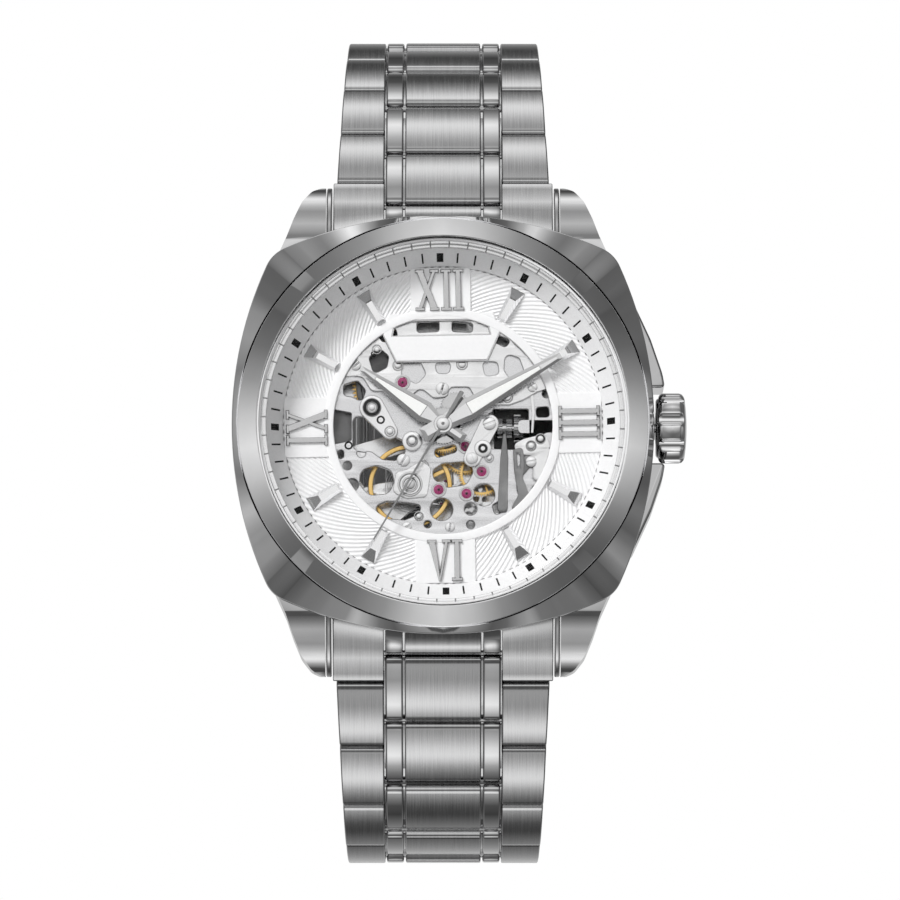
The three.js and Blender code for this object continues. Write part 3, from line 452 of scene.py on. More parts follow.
def glass():
    """Thin clear glass: it lets light straight through and reflects at its faces."""
    look = Finish("glass", "glass", Metallic=1.0, Base_Color=(1, 1, 1, 1))
    smear = look.noise(150, 3.0)
    look.roughness(smear, 0.01, 0.05)
    fresnel = look.tree.nodes.new("ShaderNodeFresnel")
    fresnel.inputs["IOR"].default_value = 1.12
    look.link(fresnel.outputs["Fac"], look.shader.inputs["Alpha"])
    return look


LOOKS = {
    "brushed": brushed_steel(),
    "brushed_round": brushed_steel("brushed_round", 0.46, 0.27, (700, 700, 9000)),
    "polished": polished_steel(),
    "bezel": polished_steel("bezel_steel", 0.93, 0.07),
    "bright": polished_steel("bright_steel", 0.80, 0.13),
    "hands": polished_steel("hands_steel", 0.78, 0.09),
    "markers": polished_steel("markers_steel", 0.86, 0.09),
    "numerals": polished_steel("numerals_steel", 0.56, 0.10),
    "small_steel": polished_steel("small_steel", 0.60, 0.16, "small_steel"),
    "grey_steel": plated("grey_steel", grey(0.26), grey(0.36), 0.34, "small_steel", 6000),
    "plate": perlage(),
    "bridge": plated("bridge_satin", grey(0.80), grey(0.88), 0.2, "nickel_plate", 7000, 6e-7),
    # near-black, for the painted shade under the stem and round posts and jewel holes
    "painted_shade_black": plated("painted_shade_black", grey(0.03), grey(0.06), 0.4, "small_steel", 6000),
    # dark grey of the barrel drum; the same grey also makes the painted shade sheet in the barrel window
    "drum": plated("barrel_drum", grey(0.13), grey(0.24), 0.42, "nickel_plate", 5200, 3e-6),
    "gold": plated("gilt_brass", (0.78, 0.50, 0.16), (0.92, 0.64, 0.26), 0.24, "gilt_brass"),
    "dial": painted("dial_white", "dial_white", grey(0.87), grey(0.90), 0.34, 2500, 2e-7),
    "silver": painted("silver_ring", "silver_ring", grey(0.74), grey(0.79), 0.36, 5000),
    "lume": painted("lume", "lume", (0.88, 0.885, 0.87), (0.93, 0.935, 0.92), 0.5, 9000, 1e-6),
    "print": painted("black_print", "black_print", grey(0.004), grey(0.008), 0.4, 6000,
                     Specular_IOR_Level=0.15),
    "rubber": painted("rubber", "rubber", grey(0.02), grey(0.035), 0.6, 4000, 2e-6),
    "ruby": ruby(),
    "glass": glass(),
}
SHARP = 38 * DEG  # edges that turn by more than this stay crisp
FACETS = 9 * DEG  # the same for cut facets


def piece(name, shape, look, body, *nodes, sharp=SHARP):
    """Makes a named piece with a look, riding on a body, standing for CAD nodes."""
    mesh = bpy.data.meshes.new(name)
    mesh.from_pydata([world(*v) for v in shape.verts], [], shape.faces)
    work = bmesh.new()
    work.from_mesh(mesh)
    bmesh.ops.remove_doubles(work, verts=work.verts, dist=3e-7)
    bmesh.ops.dissolve_degenerate(work, edges=work.edges, dist=1e-7)
    work.to_mesh(mesh)
    work.free()
    mesh.shade_smooth()
    mesh.set_sharp_from_angle(angle=sharp)
    mesh.materials.append(LOOKS[look].material)
    obj = bpy.data.objects.new(name, mesh)
    bpy.context.scene.collection.objects.link(obj)
    normals = obj.modifiers.new("face_weighted", "WEIGHTED_NORMAL")
    normals.keep_sharp = True
    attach(obj, body)
    if nodes:
        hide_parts(*nodes)
    return obj


def soften(obj, width):
    """Rounds a piece's sharp edges by a width in millimetres."""
    soft = obj.modifiers.new("soft_edges", "BEVEL")
    soft.width, soft.segments = width * MM, 3
    soft.limit_method, soft.angle_limit = "ANGLE", SHARP
    soft.harden_normals = True
    obj.modifiers.move(len(obj.modifiers) - 1, 0)


# ---------------------------------------------------------------- case
def cushion_corner():
    """Centre of a corner arc, the angle at which it meets a side, and how far off a side's centre is."""
    back = CASE_SIDE_R - CASE_HALF
    far = CASE_SIDE_R - CASE_CORNER_R
    place = (-back + math.sqrt(2 * far * far - back * back)) / 2
    return place, math.atan2(place, place + back), back


def cushion(moved_in, side_steps=28, corner_steps=10):
    """The cushion outline, moved in by a distance."""
    place, start, back = cushion_corner()
    points = []
    for side in range(4):
        c, s = [(1, 0), (0, 1), (-1, 0), (0, -1)][side]
        turn = side * 90
        points += arc((-back * c, -back * s), CASE_SIDE_R - moved_in, turn - start / DEG,
                      turn + start / DEG, side_steps)[:-1]
        middle = (place * (c - s), place * (c + s))
        points += arc(middle, max(CASE_CORNER_R - moved_in, 0.3), turn + start / DEG,
                      turn + 90 - start / DEG, corner_steps)[:-1]
    return points


def bezel():
    """A round polished ring over cushion facets, with a fine groove between them."""
    outer = cushion(0.0)
    low, high = levels("bezel")
    ring_profile = [
        (17.85, low), (17.85, 10.05), (BEZEL_TOP_R, 10.05), (BEZEL_TOP_R, high - 0.08),
        (BEZEL_TOP_R + 0.03, high - 0.02), (BEZEL_TOP_R + 0.1, high),
        (GROOVE_R - 0.12, GROOVE_Z + 0.06), (GROOVE_R - 0.09, GROOVE_Z), (GROOVE_R, GROOVE_Z - 0.4),
    ]
    rim_profile = [  # distance in from the outline, height
        (0.1, BEZEL_WALL + 0.08), (0.03, BEZEL_WALL + 0.02), (0.0, BEZEL_WALL - 0.05), (0.0, low + 0.06),
        (0.06, low),
    ]
    lip = 0.08  # the groove's outer edge, where the facets start
    verts = []
    for x, y in outer:
        far = math.hypot(x, y)
        fall = (GROOVE_Z - BEZEL_WALL) / (far - GROOVE_R)
        profile = [*ring_profile, (GROOVE_R + lip, GROOVE_Z - lip * fall)]
        profile += [(far - d, z) for d, z in rim_profile]
        verts += [(r * x / far, r * y / far, z) for r, z in profile]
    return Shape(verts, skin(len(outer), len(profile), True))


def lug_side():
    """Side view of a lug: one long curve from the bezel down to its tip."""
    foot = fillet([(12, CASE_LOW), (19.5, CASE_LOW, 1), (20.8, 0.8, 1), (23.6, 0.5, 0.8), (24.5, 1.3, 0.8),
                   (24.63, 2.6)], 0, 6)
    return foot + bend((24.63, 2.8), (24.1, 6.1), (18.6, CASE_HIGH), 20) + [(12, CASE_HIGH)]


def lug_slivers():
    """Narrow polished strips of the lugs, set off by a groove beside the end links."""
    outlines = [[(y * side_y, z) for y, z in lug_side()] for side_y in (-1, 1)]
    return merged(*[across_twice(outline, LUG_INNER, LUG_MAIN - LUG_GROOVE, 0.14, 3) for outline in outlines])


def lug(side_x, side_y):
    """One lug: its plan cut to its side view, both with rounded corners."""
    plan = fillet([
        (LUG_MAIN, 12), (17.6, 12), (17.0, 15.8, 4), (15.6, 18.9, 3), (14.9, 20.9, 2), (14.1, 22.8, 2),
        (13.1, 24.1, 1.2), (12.1, LUG_TIP, 0.5), (LUG_MAIN, LUG_TIP, 0.1),
    ], 0, 5)
    upright = prism([(x * side_x, y * side_y) for x, y in plan], -1, 10, 0)
    sideways = across([(y * side_y, z) for y, z in lug_side()], -20, 20, 0)
    return boolean(upright, sideways, "INTERSECT")


def crown_guard(side_y):
    """The raised shoulder on one side of the crown."""
    plan = fillet([
        (18.0, 13.6), (18.9, 12.5, 0.8), (20.7, 8.6, 5), (21.85, 5.2, 5), (22.1, 3.78, 0.35), (18.0, 3.78),
    ], 0, 5)
    return prism([(x, y * side_y) for x, y in plan], 2.25, 8.2, 0.25, steps=3)


def mid_case():
    """The case middle with lugs and crown guards, bored for the movement, back and stem."""
    body = prism(cushion(CASE_INSET), CASE_LOW, CASE_HIGH, 0.18, steps=3)
    for side_x in (-1, 1):
        for side_y in (-1, 1):
            body = boolean(body, lug(side_x, side_y), "UNION")
    for side_y in (-1, 1):
        body = boolean(body, crown_guard(side_y), "UNION")
    bore = lathe([(0, 0), (17.0, 0), (17.0, 2.8), (16.5, 2.8), (16.5, 10), (0, 10)], 128)
    stem_hole = on_stem(lathe([(0, 15), (1.3, 15), (1.3, 23), (0, 23)], 32))
    return boolean(boolean(body, bore, "DIFFERENCE"), stem_hole, "DIFFERENCE")


SLOPE_INNER, SLOPE_OUTER = (DIAL_RIM, 8.44), (17.5, 9.93)  # radius and height of the sloping minute ring


def chapter_ring():
    """The ring around the dial, sloping up to the glass."""
    low, high = levels("chapter_ring")
    return lathe([
        (15.95, low), (16.4, low), (16.4, 8.78), (17.75, 8.78), (17.75, high), (17.56, high),
        SLOPE_OUTER, SLOPE_INNER, (15.95, 8.4),
    ], 192)


def on_ring(start, end, width, angle):
    """A printed mark lying on the sloping chapter ring, at an angle clockwise from 12."""
    proud, sunk = 0.012, 0.02
    corners = [(-width / 2, start), (width / 2, start), (width / 2, end), (-width / 2, end)]
    slope = (SLOPE_OUTER[1] - SLOPE_INNER[1]) / (SLOPE_OUTER[0] - SLOPE_INNER[0])
    face = [(x, r, SLOPE_INNER[1] + (r - SLOPE_INNER[0]) * slope) for x, r in corners]
    verts = [(x, r, z - sunk) for x, r, z in face] + [(x, r, z + proud) for x, r, z in face]
    return Shape(verts, [[3, 2, 1, 0], [4, 5, 6, 7], *skin(2, 4)]).at(0, 0, 0, DIAL_TURN - angle)


def minute_marks():
    """A thin mark at each minute and a bold one at each hour."""
    marks = [on_ring(16.26, 17.14, 0.17, 6 * minute) for minute in range(60) if minute % 5]
    return merged(*marks, *[on_ring(16.31, 17.09, 0.66, 30 * hour) for hour in range(12)])


def reflection_flange():
    """A polished flange between the chapter ring and the glass, put where the crystal's edge shows a bright
    reflection: a painted reflection.
    """
    profile = [(17.76, 9.2), (18.03, 9.2), (18.03, 10.12), (17.58, 10.12), (17.58, 9.98), (17.76, 9.98)]
    return lathe(fillet(profile, 0.03, 2), 192)


def painted_mark_reflections():
    """Sixty narrow dark breaks in the polished flange: the painted reflection of the minute marks in the
    crystal's edge.
    """
    gap = prism([(-0.07, 17.56), (0.07, 17.56), (0.07, 18.04), (-0.07, 18.04)], 10.0, 10.135, 0)
    return merged(*[gap.at(0, 0, 0, DIAL_TURN + 6 * k + 3) for k in range(60)])


def case_back():
    """The screwed ring of the case back, with six notches for a key."""
    profile = fillet([
        (12.35, 0.0), (18.2, 0.0), (18.6, 0.4), (18.6, 1.2), (16.85, 1.2), (16.85, 2.6), (16.2, 2.6),
        (16.2, 1.3), (11.7, 1.3), (11.7, 1.1), (12.35, 1.1),
    ], 0.08, 3)
    body = lathe(profile, 144)
    notch = prism([(17.2, -0.9), (19.5, -0.9), (19.5, 0.9), (17.2, 0.9)], -1, 0.8, 0)
    for k in range(6):
        body = boolean(body, notch.at(0, 0, 0, 60 * k + 30), "DIFFERENCE")
    return body


def make_case():
    """Case middle, bezel, glasses, gaskets, chapter ring and case back."""
    steel = piece("mid_case_steel", mid_case(), "polished", "case", "mid_case")
    soften(steel, 0.11)
    piece("lug_slivers", lug_slivers(), "polished", "case")
    piece("bezel_polished", bezel(), "bezel", "case", "bezel")
    low, high = levels("crystal")
    crystal = fillet([(0, low, 0), (18.0, low), (18.0, 11.6), (17.6, high), (0, high, 0)], 0.05, 2)
    piece("crystal_clear", lathe(crystal, 144), "glass", "case", "crystal")
    piece("gasket_crystal", ring(18.08, 18.3, 10.12, 11.7, steps=144), "silver", "case", "crystal_gasket")
    piece("chapter_ring_silver", chapter_ring(), "silver", "case", "chapter_ring")
    piece("minute_track", minute_marks(), "print", "case")
    # painted reflection: a bright ring and its dark breaks stand for the minute marks reflected in the
    # crystal's edge
    piece("crystal_flange_reflection", reflection_flange(), "bright", "case")
    piece("painted_mark_reflections", painted_mark_reflections(), "grey_steel", "case")
    piece("case_back_steel", case_back(), "brushed_round", "case", "case_back")
    low, high = levels("case_back_glass")
    back_glass = ring(0, 12.25, low, high, steps=128, bevel=0.1)
    piece("back_glass_clear", back_glass, "glass", "case", "case_back_glass")
    piece("gasket_back", ring(17.15, 17.55, 1.25, 1.45, steps=96), "rubber", "case", "case_back_gasket")


# ---------------------------------------------------------------- bracelet
def bracelet_half(distance):
    """Half the bracelet's width at a distance from the case: it tapers quickly, then less and less."""
    left = 1 - min(max(distance / (8 * PITCH), 0), 1)
    return 9.2 + 1.5 * left**1.6


def column(flat, hinge, drop=0.0):
    """Side view of a link column: bowed on top, its underside rounded about its hinge."""
    side = 1 if hinge > flat else -1
    end = hinge + side * LINK_END
    middle, half = (flat + end) / 2, abs(end - flat) / 2
    bow = [(middle + side * half * t, LINK_EDGE + (LINK_APEX - LINK_EDGE) * (1 - t * t) - drop)
           for t in [-0.91 + 1.82 * k / 18 for k in range(19)]]
    step = side * LINK_STEP
    ends = [(0, 0.3), (step, 0.45), (step, LINK_EDGE - 0.3 - drop), (step * 1.4, LINK_EDGE - 0.06 - drop)]
    near = [(flat + y, z) for y, z in ends]
    far = [(end - y, z) for y, z in reversed(ends)]
    under = [(hinge + side * LINK_END * math.cos(a * DEG), -LINK_END * math.sin(a * DEG))
             for a in (0, 20, 40, 61)]
    return [(flat, -LINK_HALF + 0.15), *near, *bow, *far, *under, (flat + side * 0.15, -LINK_HALF)]


def taper(shape, start, edge):
    """Draws the outer sides of a link in to the bracelet's tapering width."""
    half = bracelet_half(start)
    return Shape([
        (x * (bracelet_half(start + y) / half) if abs(x) > edge else x, y, z) for x, y, z in shape.verts
    ], shape.faces)


def link_shapes(start):
    """Brushed columns and polished strips of one link, in its own frame."""
    half = bracelet_half(start)
    outer, inner = column(LINK_START, PITCH), column(PITCH - LINK_START, 0)
    sides = taper(across_twice(outer, OUTER_FROM, half, 0.16, 3), start, half - 0.3)
    web = across([(2.4, -1.2), (5.6, -1.2), (5.6, 0.9), (2.4, 0.9)], -6.3, 6.3, 0.05)
    core = across(column(PITCH - LINK_START - 0.05, 0, 0.5), -OUTER_FROM + 0.03, OUTER_FROM - 0.03, 0.02)
    brushed = merged(sides, across(inner, -CENTRE_HALF, CENTRE_HALF, 0.16, 3), web, core)
    return brushed, across_twice(column(PITCH - LINK_START, 0, 0.03), STRIP_FROM, STRIP_TO, 0.2, 3)


def link_place(hinge, angle, side):
    """From a link's own frame to the watch: turned down by an angle at its hinge."""
    sign = 1 if side == 12 else -1
    along = Matrix.Translation((0, hinge[1] * sign, hinge[2])) @ Matrix.Rotation(-angle * DEG, 4, "X")
    return along if side == 12 else Matrix.Rotation(math.pi, 4, "Z") @ along


def chain_hinges(side):
    """The hinges of one half of the bracelet, from the case outwards."""
    found = [pivot(f"hinge_{side}_{n}") for n in range(1, 9)]
    if side == 12:
        found.append(pivot("hinge_12_clasp"))
    return found


def link_angle(here, there, side):
    """How far a link is turned down between its two hinges."""
    sign = 1 if side == 12 else -1
    return math.atan2(here[2] - there[2], (there[1] - here[1]) * sign) / DEG


def make_links():
    """Eight links on each side of the case."""
    for side in (12, 6):
        hinges = chain_hinges(side)
        for n in range(8):
            angle = LAST_ANGLE_6 if n + 1 == len(hinges) else link_angle(hinges[n], hinges[n + 1], side)
            place = link_place(hinges[n], angle, side)
            brushed, polished = link_shapes(n * PITCH)
            name = f"link_{side}_{n + 1}"
            piece(name + "_brushed", brushed.moved(place), "brushed", name, name)
            piece(name + "_strips", polished.moved(place), "polished", name)


def rising(start):
    """The face of an end link, curving up from a point to just under the bezel."""
    return bend(start, (21.5, 5.9), (20.62, 8.1), 12)


def end_link_shapes():
    """Columns of the piece between the lugs, sloping down to the first hinge."""
    hinge = pivot("hinge_12_1")
    c, s = math.cos(END_SLOPE * DEG), math.sin(END_SLOPE * DEG)

    def along(distance, height):
        return (hinge[1] + distance * c + height * s, hinge[2] - distance * s + height * c)

    under = [(21.2, 1.2), along(0.5, -1.3), along(1.25, -0.85)]
    outer = [(20.6, 3.4), *under, along(LINK_END, -0.1), along(LINK_END, LINK_EDGE - 0.35),
             along(LINK_END - 0.04, LINK_EDGE - 0.12), *rising(along(LINK_END - 0.25, LINK_EDGE + 0.05))]
    inner = [(20.6, 3.4), (21.2, 1.2), along(-LINK_START, -1.0), along(-LINK_START, LINK_HALF - 0.3),
             along(-LINK_START - 0.04, LINK_HALF - 0.05), *rising(along(-LINK_START - 0.2, LINK_HALF + 0.16))]
    edge = LUG_INNER - 0.12
    middle = [(20.6, 3.4), (21.2, 1.4), along(-1.8, -0.8), along(-1.8, 1.0), (20.6, 6.8)]
    core = across(middle, -6.4, 6.4, 0.05)
    brushed = merged(across_twice(outer, OUTER_FROM, edge), across(inner, -CENTRE_HALF, CENTRE_HALF), core)
    return against_case(brushed), against_case(across_twice(inner, STRIP_FROM, STRIP_TO))


def against_case(shape):
    """Draws the case end of an end link in to follow the bowed side of the case."""
    verts = []
    for x, y, z in shape.verts:
        bow = CASE_SIDE_R - math.sqrt(CASE_SIDE_R**2 - x * x)
        share = min(max((22.4 - y) / 1.7, 0.0), 1.0)
        verts.append((x, y - bow * share, z))
    return Shape(verts, shape.faces)


def make_end_links():
    """The pieces between the lugs, the same on both sides of the case."""
    brushed, polished = end_link_shapes()
    for side, turn in ((12, 0), (6, 180)):
        name = f"end_link_{side}"
        piece(name + "_brushed", brushed.at(0, 0, 0, turn), "brushed", "case", name)
        piece(name + "_strips", polished.at(0, 0, 0, turn), "polished", "case")


# ---------------------------------------------------------------- clasp
def on_clasp(along, above):
    """A point of the clasp's side view, by its distance along the bowed clasp and above it."""
    half = math.asin(CLASP_SPAN / 2 / CLASP_R)
    angle = along / CLASP_R - half
    return (CLASP_SPAN / 2 + (CLASP_R + above) * math.sin(angle),
            (CLASP_R + above) * math.cos(angle) - CLASP_R * math.cos(half))


def clasp_band(start, end, low, high, left, right, bevel=0.12, corner=0.0):
    """A plate that follows the bow of the clasp, with its four corners rounded in side view."""
    steps = max(2, round((end - start) / 2))
    stops = [start + (end - start) * k / steps for k in range(steps + 1)]
    outline = [on_clasp(along, high) for along in stops] + [on_clasp(along, low) for along in reversed(stops)]
    if corner:
        ends = (0, steps, steps + 1, 2 * steps + 1)
        outline = fillet([(*p, corner if k in ends else 0) for k, p in enumerate(outline)], 0, 4)
    return across(outline, left, right, bevel)


def clasp_bar(radius, along, above, left, right):
    """A round bar across the clasp."""
    return laid_along_x(ring(0, radius, left, right, steps=28, bevel=0.08)).at(0, *on_clasp(along, above))


def clasp_cover():
    """A bowed cover with side walls, cut for the pushers, and the end that holds the bracelet's pin."""
    wall = CLASP_HALF - CLASP_WALL
    shell = clasp_band(1.9, CLASP_PIN_S, 1.0, 2.1, -CLASP_HALF, CLASP_HALF, 0.22, 0.35)
    for left, right in ((wall, CLASP_HALF), (-CLASP_HALF, -wall)):
        side = clasp_band(1.9, CLASP_PIN_S + 1.2, -1.7, 1.3, left + 0.02, right - 0.02, 0.15, 0.5)
        shell = boolean(shell, side, "UNION")
    for left, right in ((wall - 1, 11), (-11, -wall + 1)):
        opening = clasp_band(PUSHER_S - 2.6, PUSHER_S + 2.6, -0.9, 0.7, left, right, 0.02)
        shell = boolean(shell, opening, "DIFFERENCE")
    return merged(shell, clasp_band(0.3, 3.4, -0.9, 1.35, -5.75, 5.75), clasp_bar(1.4, 0, 0, -5.75, 5.75))


def clasp_middle():
    """The middle blade: a slotted plate with a forked end and an eye on the cover's pin."""
    body = clasp_band(5.9, CLASP_PIN_S, -0.4, 0.5, -7.4, 7.4, 0.1, 0.2)
    body = boolean(body, clasp_band(0, 9.4, -3, 3, -6.25, 6.25, 0), "DIFFERENCE")
    body = boolean(body, clasp_band(13, 38, -3, 3, -3.6, 3.6, 0), "DIFFERENCE")
    fork = [clasp_band(5.9, 8.2, -1.9, 0.2, left, left + 1.1, 0.1, 0.5) for left in (-7.4, 6.3)]
    return merged(body, clasp_bar(0.95, CLASP_PIN_S, 0.05, -7.4, 7.4), *fork)


def clasp_inner():
    """The inner blade, from its pin in the fork to the bar that holds the last link."""
    end = 2 * CLASP_R * math.asin(CLASP_SPAN / 2 / CLASP_R)
    return merged(
        clasp_bar(0.75, BLADE_PIN_S, BLADE_PIN_T, -6.1, 6.1),
        clasp_bar(0.48, BLADE_PIN_S, BLADE_PIN_T, -7.3, 7.3),
        clasp_band(BLADE_PIN_S, end - 2.2, -1.65, -1.0, -6.1, 6.1, 0.08, 0.1),
        clasp_band(end - 3.0, end, -1.65, -0.6, -5.5, 5.5, 0.1),
        clasp_bar(1.2, end, 0, -5.5, 5.5),
    )


def make_clasp():
    """Cover, two folding blades, a pin and two pushers."""
    place = link_place(pivot("hinge_12_clasp"), CLASP_ANGLE, 12)
    for name, shape, look, node in (
        ("clasp_cover_brushed", clasp_cover(), "brushed", "clasp_cover"),
        ("clasp_middle_polished", clasp_middle(), "polished", "clasp_middle_blade"),
        ("clasp_inner_polished", clasp_inner(), "polished", "clasp_inner_blade"),
    ):
        piece(name, shape.moved(place), look, node, node)
    pin = clasp_bar(0.5, CLASP_PIN_S, 0.05, -CLASP_HALF + 0.05, CLASP_HALF - 0.05)
    piece("clasp_pin", pin.moved(place), "small_steel", "clasp_cover")
    start, end = CLASP_HALF - CLASP_WALL - 0.3, CLASP_HALF + 0.6
    for node, left, right in (("clasp_pusher_left", -end, -start), ("clasp_pusher_right", start, end)):
        button = clasp_band(PUSHER_S - 2.4, PUSHER_S + 2.4, -0.7, 0.5, left, right, 0.2, 0.4)
        piece(node + "_button", button.moved(place), "polished", node, node)


# ---------------------------------------------------------------- crown
def crown_shape():
    """A fluted crown with eight scooped flats and a domed end, drawn about x."""
    flutes, around, flute_turn, depth = 8, 192, 36.5 * DEG, 0.13
    stations = [  # distance from the watch's middle, radius, share of the scoops' depth
        (22.4, 0.0, 0), (22.4, 1.6, 0), (21.2, 1.6, 0), (21.2, 2.75, 0), (21.3, 2.9, 0), (21.45, 3.0, 0.1),
        (21.5, 3.2, 0.4), (21.62, 3.38, 0.75), (21.85, 3.5, 1), (23.5, 3.5, 1), (23.78, 3.42, 0.8),
        (23.98, 3.2, 0.35), (24.08, 2.95, 0.1), (24.2, 2.0, 0), (24.27, 1.0, 0), (24.3, 0.0, 0),
    ]
    verts = []
    for x, radius, share in stations:
        for k in range(around):
            a = 2 * math.pi * k / around
            wave = math.cos(flutes * (a - flute_turn))
            scoop = max(0.0, (wave - 0.1) / 0.9) ** 0.65
            r = radius * (1 - depth * share * scoop)
            verts.append((x, r * math.cos(a), r * math.sin(a)))
    return Shape(verts, skin(len(stations), around))


def make_crown():
    """The crown, its tube in the case and the stem."""
    piece("crown_polished", crown_shape().at(0, 0, STEM_HEIGHT), "hands", "crown", "crown")
    tube = lathe(fillet([(0.65, 16.7), (1.2, 16.7), (1.2, 21.1), (0.65, 21.1)], 0.08, 2), 64)
    piece("crown_tube_steel", on_stem(tube), "small_steel", "case", "crown_tube")
    stem = fillet([(0, 3.4, 0), (0.3, 3.4), (0.3, 6.2), (0.45, 6.3), (0.45, 8.9), (0.3, 9.0), (0.3, 9.6),
                   (0.45, 9.7), (0.45, 22.7), (0, 22.7, 0)], 0.04, 2)
    piece("stem_steel", on_stem(lathe(stem, 40)), "small_steel", "crown", "winding_stem")


# ---------------------------------------------------------------- dial
def guilloche():
    """The dial's white ring, its face cut with fine waves that follow equal spirals."""
    inner, outer, arms, per_arm, rows = 11.7, 16.2, 134, 6, 14
    low = levels("dial")[0]
    face, height, slope = 8.19, 0.046, math.tan(36 * DEG)
    count = arms * per_arm
    verts = []
    for row in range(rows + 1):
        r = inner * (outer / inner) ** (row / rows)
        for k in range(count):
            a = 2 * math.pi * k / count - math.log(r / inner) / slope
            z = face + height * math.cos(2 * math.pi * k / per_arm)
            verts.append((r * math.cos(a), r * math.sin(a), z))
    for r, z in ((16.3, face - 0.06), (16.3, low), (inner, low)):
        verts += [(x, y, z) for x, y in circle(r, steps=count)]
    return Shape(verts, flipped(skin(rows + 4, count, True)))


def hour_panels():
    """Four smooth raised panels under the numerals, and the plain band round the opening."""
    panel = prism([(-3, 11.4), (3, 11.4), (3, 15.8), (-3, 15.8)], 8.0, 8.34, 0.09)
    edge = [(DIAL_OPENING, 7.88), (DIAL_BAND, 7.88), (DIAL_BAND, 8.38), (DIAL_OPENING, 8.38)]
    band = lathe(fillet(edge, 0.1, 4), 192)
    return merged(band, *[panel.at(0, 0, 0, 90 * k) for k in range(4)])


def stroke(outline, high):
    """A polished stroke of a numeral, with steep sides."""
    return prism(outline, 8.25, high, 0.09, steps=1, steep=2.2)


def bar(x, y, width, height, high):
    """An upright or level stroke about a point."""
    w, h = width / 2, height / 2
    return stroke([(x - w, y - h), (x + w, y - h), (x + w, y + h), (x - w, y + h)], high)


def slanting(x0, x1, top, bottom, width, high):
    """A slanting stroke of an X, cut level at its ends."""
    w = width / 2
    return stroke([(x0 - w, bottom), (x0 + w, bottom), (x1 + w, top), (x1 - w, top)], high)


NUMERAL_TOP, SERIF = 2.07, 0.34
SERIF_Y = NUMERAL_TOP - SERIF / 2
THICK_FACE, THIN_FACE, SERIF_FACE = 8.62, 8.61, 8.59  # strokes that cross lie at their own heights


def numeral_i(x):
    serifs = [bar(x, side * SERIF_Y, 1.08, SERIF, 8.6) for side in (-1, 1)]
    return merged(bar(x, 0, 0.54, 2 * NUMERAL_TOP - 0.1, THICK_FACE), *serifs)


def numeral_x(x):
    thick = slanting(x + 0.7, x - 0.7, SERIF_Y, -SERIF_Y, 0.72, THICK_FACE)
    thin = slanting(x - 0.7, x + 0.7, SERIF_Y, -SERIF_Y, 0.42, THIN_FACE)
    serifs = [bar(x + a * 0.72, b * SERIF_Y, 0.92, SERIF, SERIF_FACE) for a in (-1, 1) for b in (-1, 1)]
    return merged(thick, thin, *serifs)


def numeral_v(x):
    foot = -NUMERAL_TOP
    thick = [(x - 0.08, foot), (x + 0.16, foot), (x - 0.38, SERIF_Y), (x - 1.08, SERIF_Y)]
    thin = [(x - 0.12, foot + 0.05), (x + 0.14, foot + 0.05), (x + 0.94, SERIF_Y), (x + 0.54, SERIF_Y)]
    serifs = [bar(x + a * 0.74, SERIF_Y, 0.92, SERIF, SERIF_FACE) for a in (-1, 1)]
    return merged(stroke(thick, THICK_FACE), stroke(thin, THIN_FACE), *serifs)


def numerals():
    """The hours 12, 3, 6 and 9 in Roman numerals, each upright seen from its own side or the middle."""
    row = 13.55
    twelve = merged(numeral_x(-1.35), numeral_i(0.55), numeral_i(1.75)).at(0, row)
    three = merged(*[numeral_i(x) for x in (-1.15, 0, 1.15)]).at(0, row)
    nine = merged(numeral_i(-1.3), numeral_x(0.55)).at(0, row)
    six = merged(numeral_v(-0.6), numeral_i(1.15)).at(0, -row)
    return merged(twelve, three.at(0, 0, 0, -90), nine.at(0, 0, 0, 90), six)


def baton():
    """An applied hour marker: a facetted wedge, wide and steeply cut at its outer end."""
    foot = [(-0.5, 12.0), (0.5, 12.0), (0.74, 15.45), (-0.74, 15.45)]
    top = [(-0.27, 12.2), (0.27, 12.2), (0.3, 14.3), (-0.3, 14.3)]
    verts = [(x, y, z) for row, z in ((foot, 8.05), (foot, 8.3), (top, 8.76)) for x, y in row]
    return Shape(verts, [[3, 2, 1, 0], [8, 9, 10, 11], *skin(3, 4)])


def name_plate(grow, low, high, bevel):
    """A plate with a long window, grown by a distance all round."""
    outline = [(-4.5, 6.5), (4.5, 6.5), (5.8, 9.3), (5.2, 11.2), (-5.2, 11.2), (-5.8, 9.3)]
    window = [(-5.0, 8.95), (5.0, 8.95), (4.6, 10.6), (-4.6, 10.6)]
    return prism(inset(outline, -grow), low, high, bevel, [inset(window, grow)], 2)


def make_dial():
    """The dial, its plate without a name, numerals and batons, all turned slightly in the case."""
    turn = DIAL_TURN
    panels = merged(hour_panels(), name_plate(0, 8.0, 8.36, 0.07))
    piece("dial_guilloche", guilloche().at(0, 0, 0, turn), "dial", "case", "dial")
    piece("dial_panels", panels.at(0, 0, 0, turn), "dial", "case")
    piece("name_plate_rim", name_plate(0.13, 7.86, 8.1, 0.05).at(0, 0, 0, turn), "small_steel", "case")
    piece("hour_numerals", numerals().at(0, 0, 0, turn), "numerals", "case", sharp=FACETS)
    batons = [baton().at(0, 0, 0, -30 * hour) for hour in (1, 2, 4, 5, 7, 8, 10, 11)]
    piece("hour_batons", merged(*batons).at(0, 0, 0, turn), "markers", "case", sharp=FACETS)


# ---------------------------------------------------------------- hands
HANDS = {
    # angle clockwise from 12, length, half width of the tip, tail and half its width, half width where
    # the blade is widest, how far out that is, height of its underside
    "hour_hand": (-55.4, 9.9, 0.25, 2.6, 0.5, 1.1, 2.2, 8.75),
    "minute_hand": (59.7, 13.6, 0.33, 2.3, 0.75, 1.1, 2.9, 9.13),
}
BLADE_EDGE, BLADE_RISE = 0.1, 0.21  # height of a blade's upright edge and of its middle


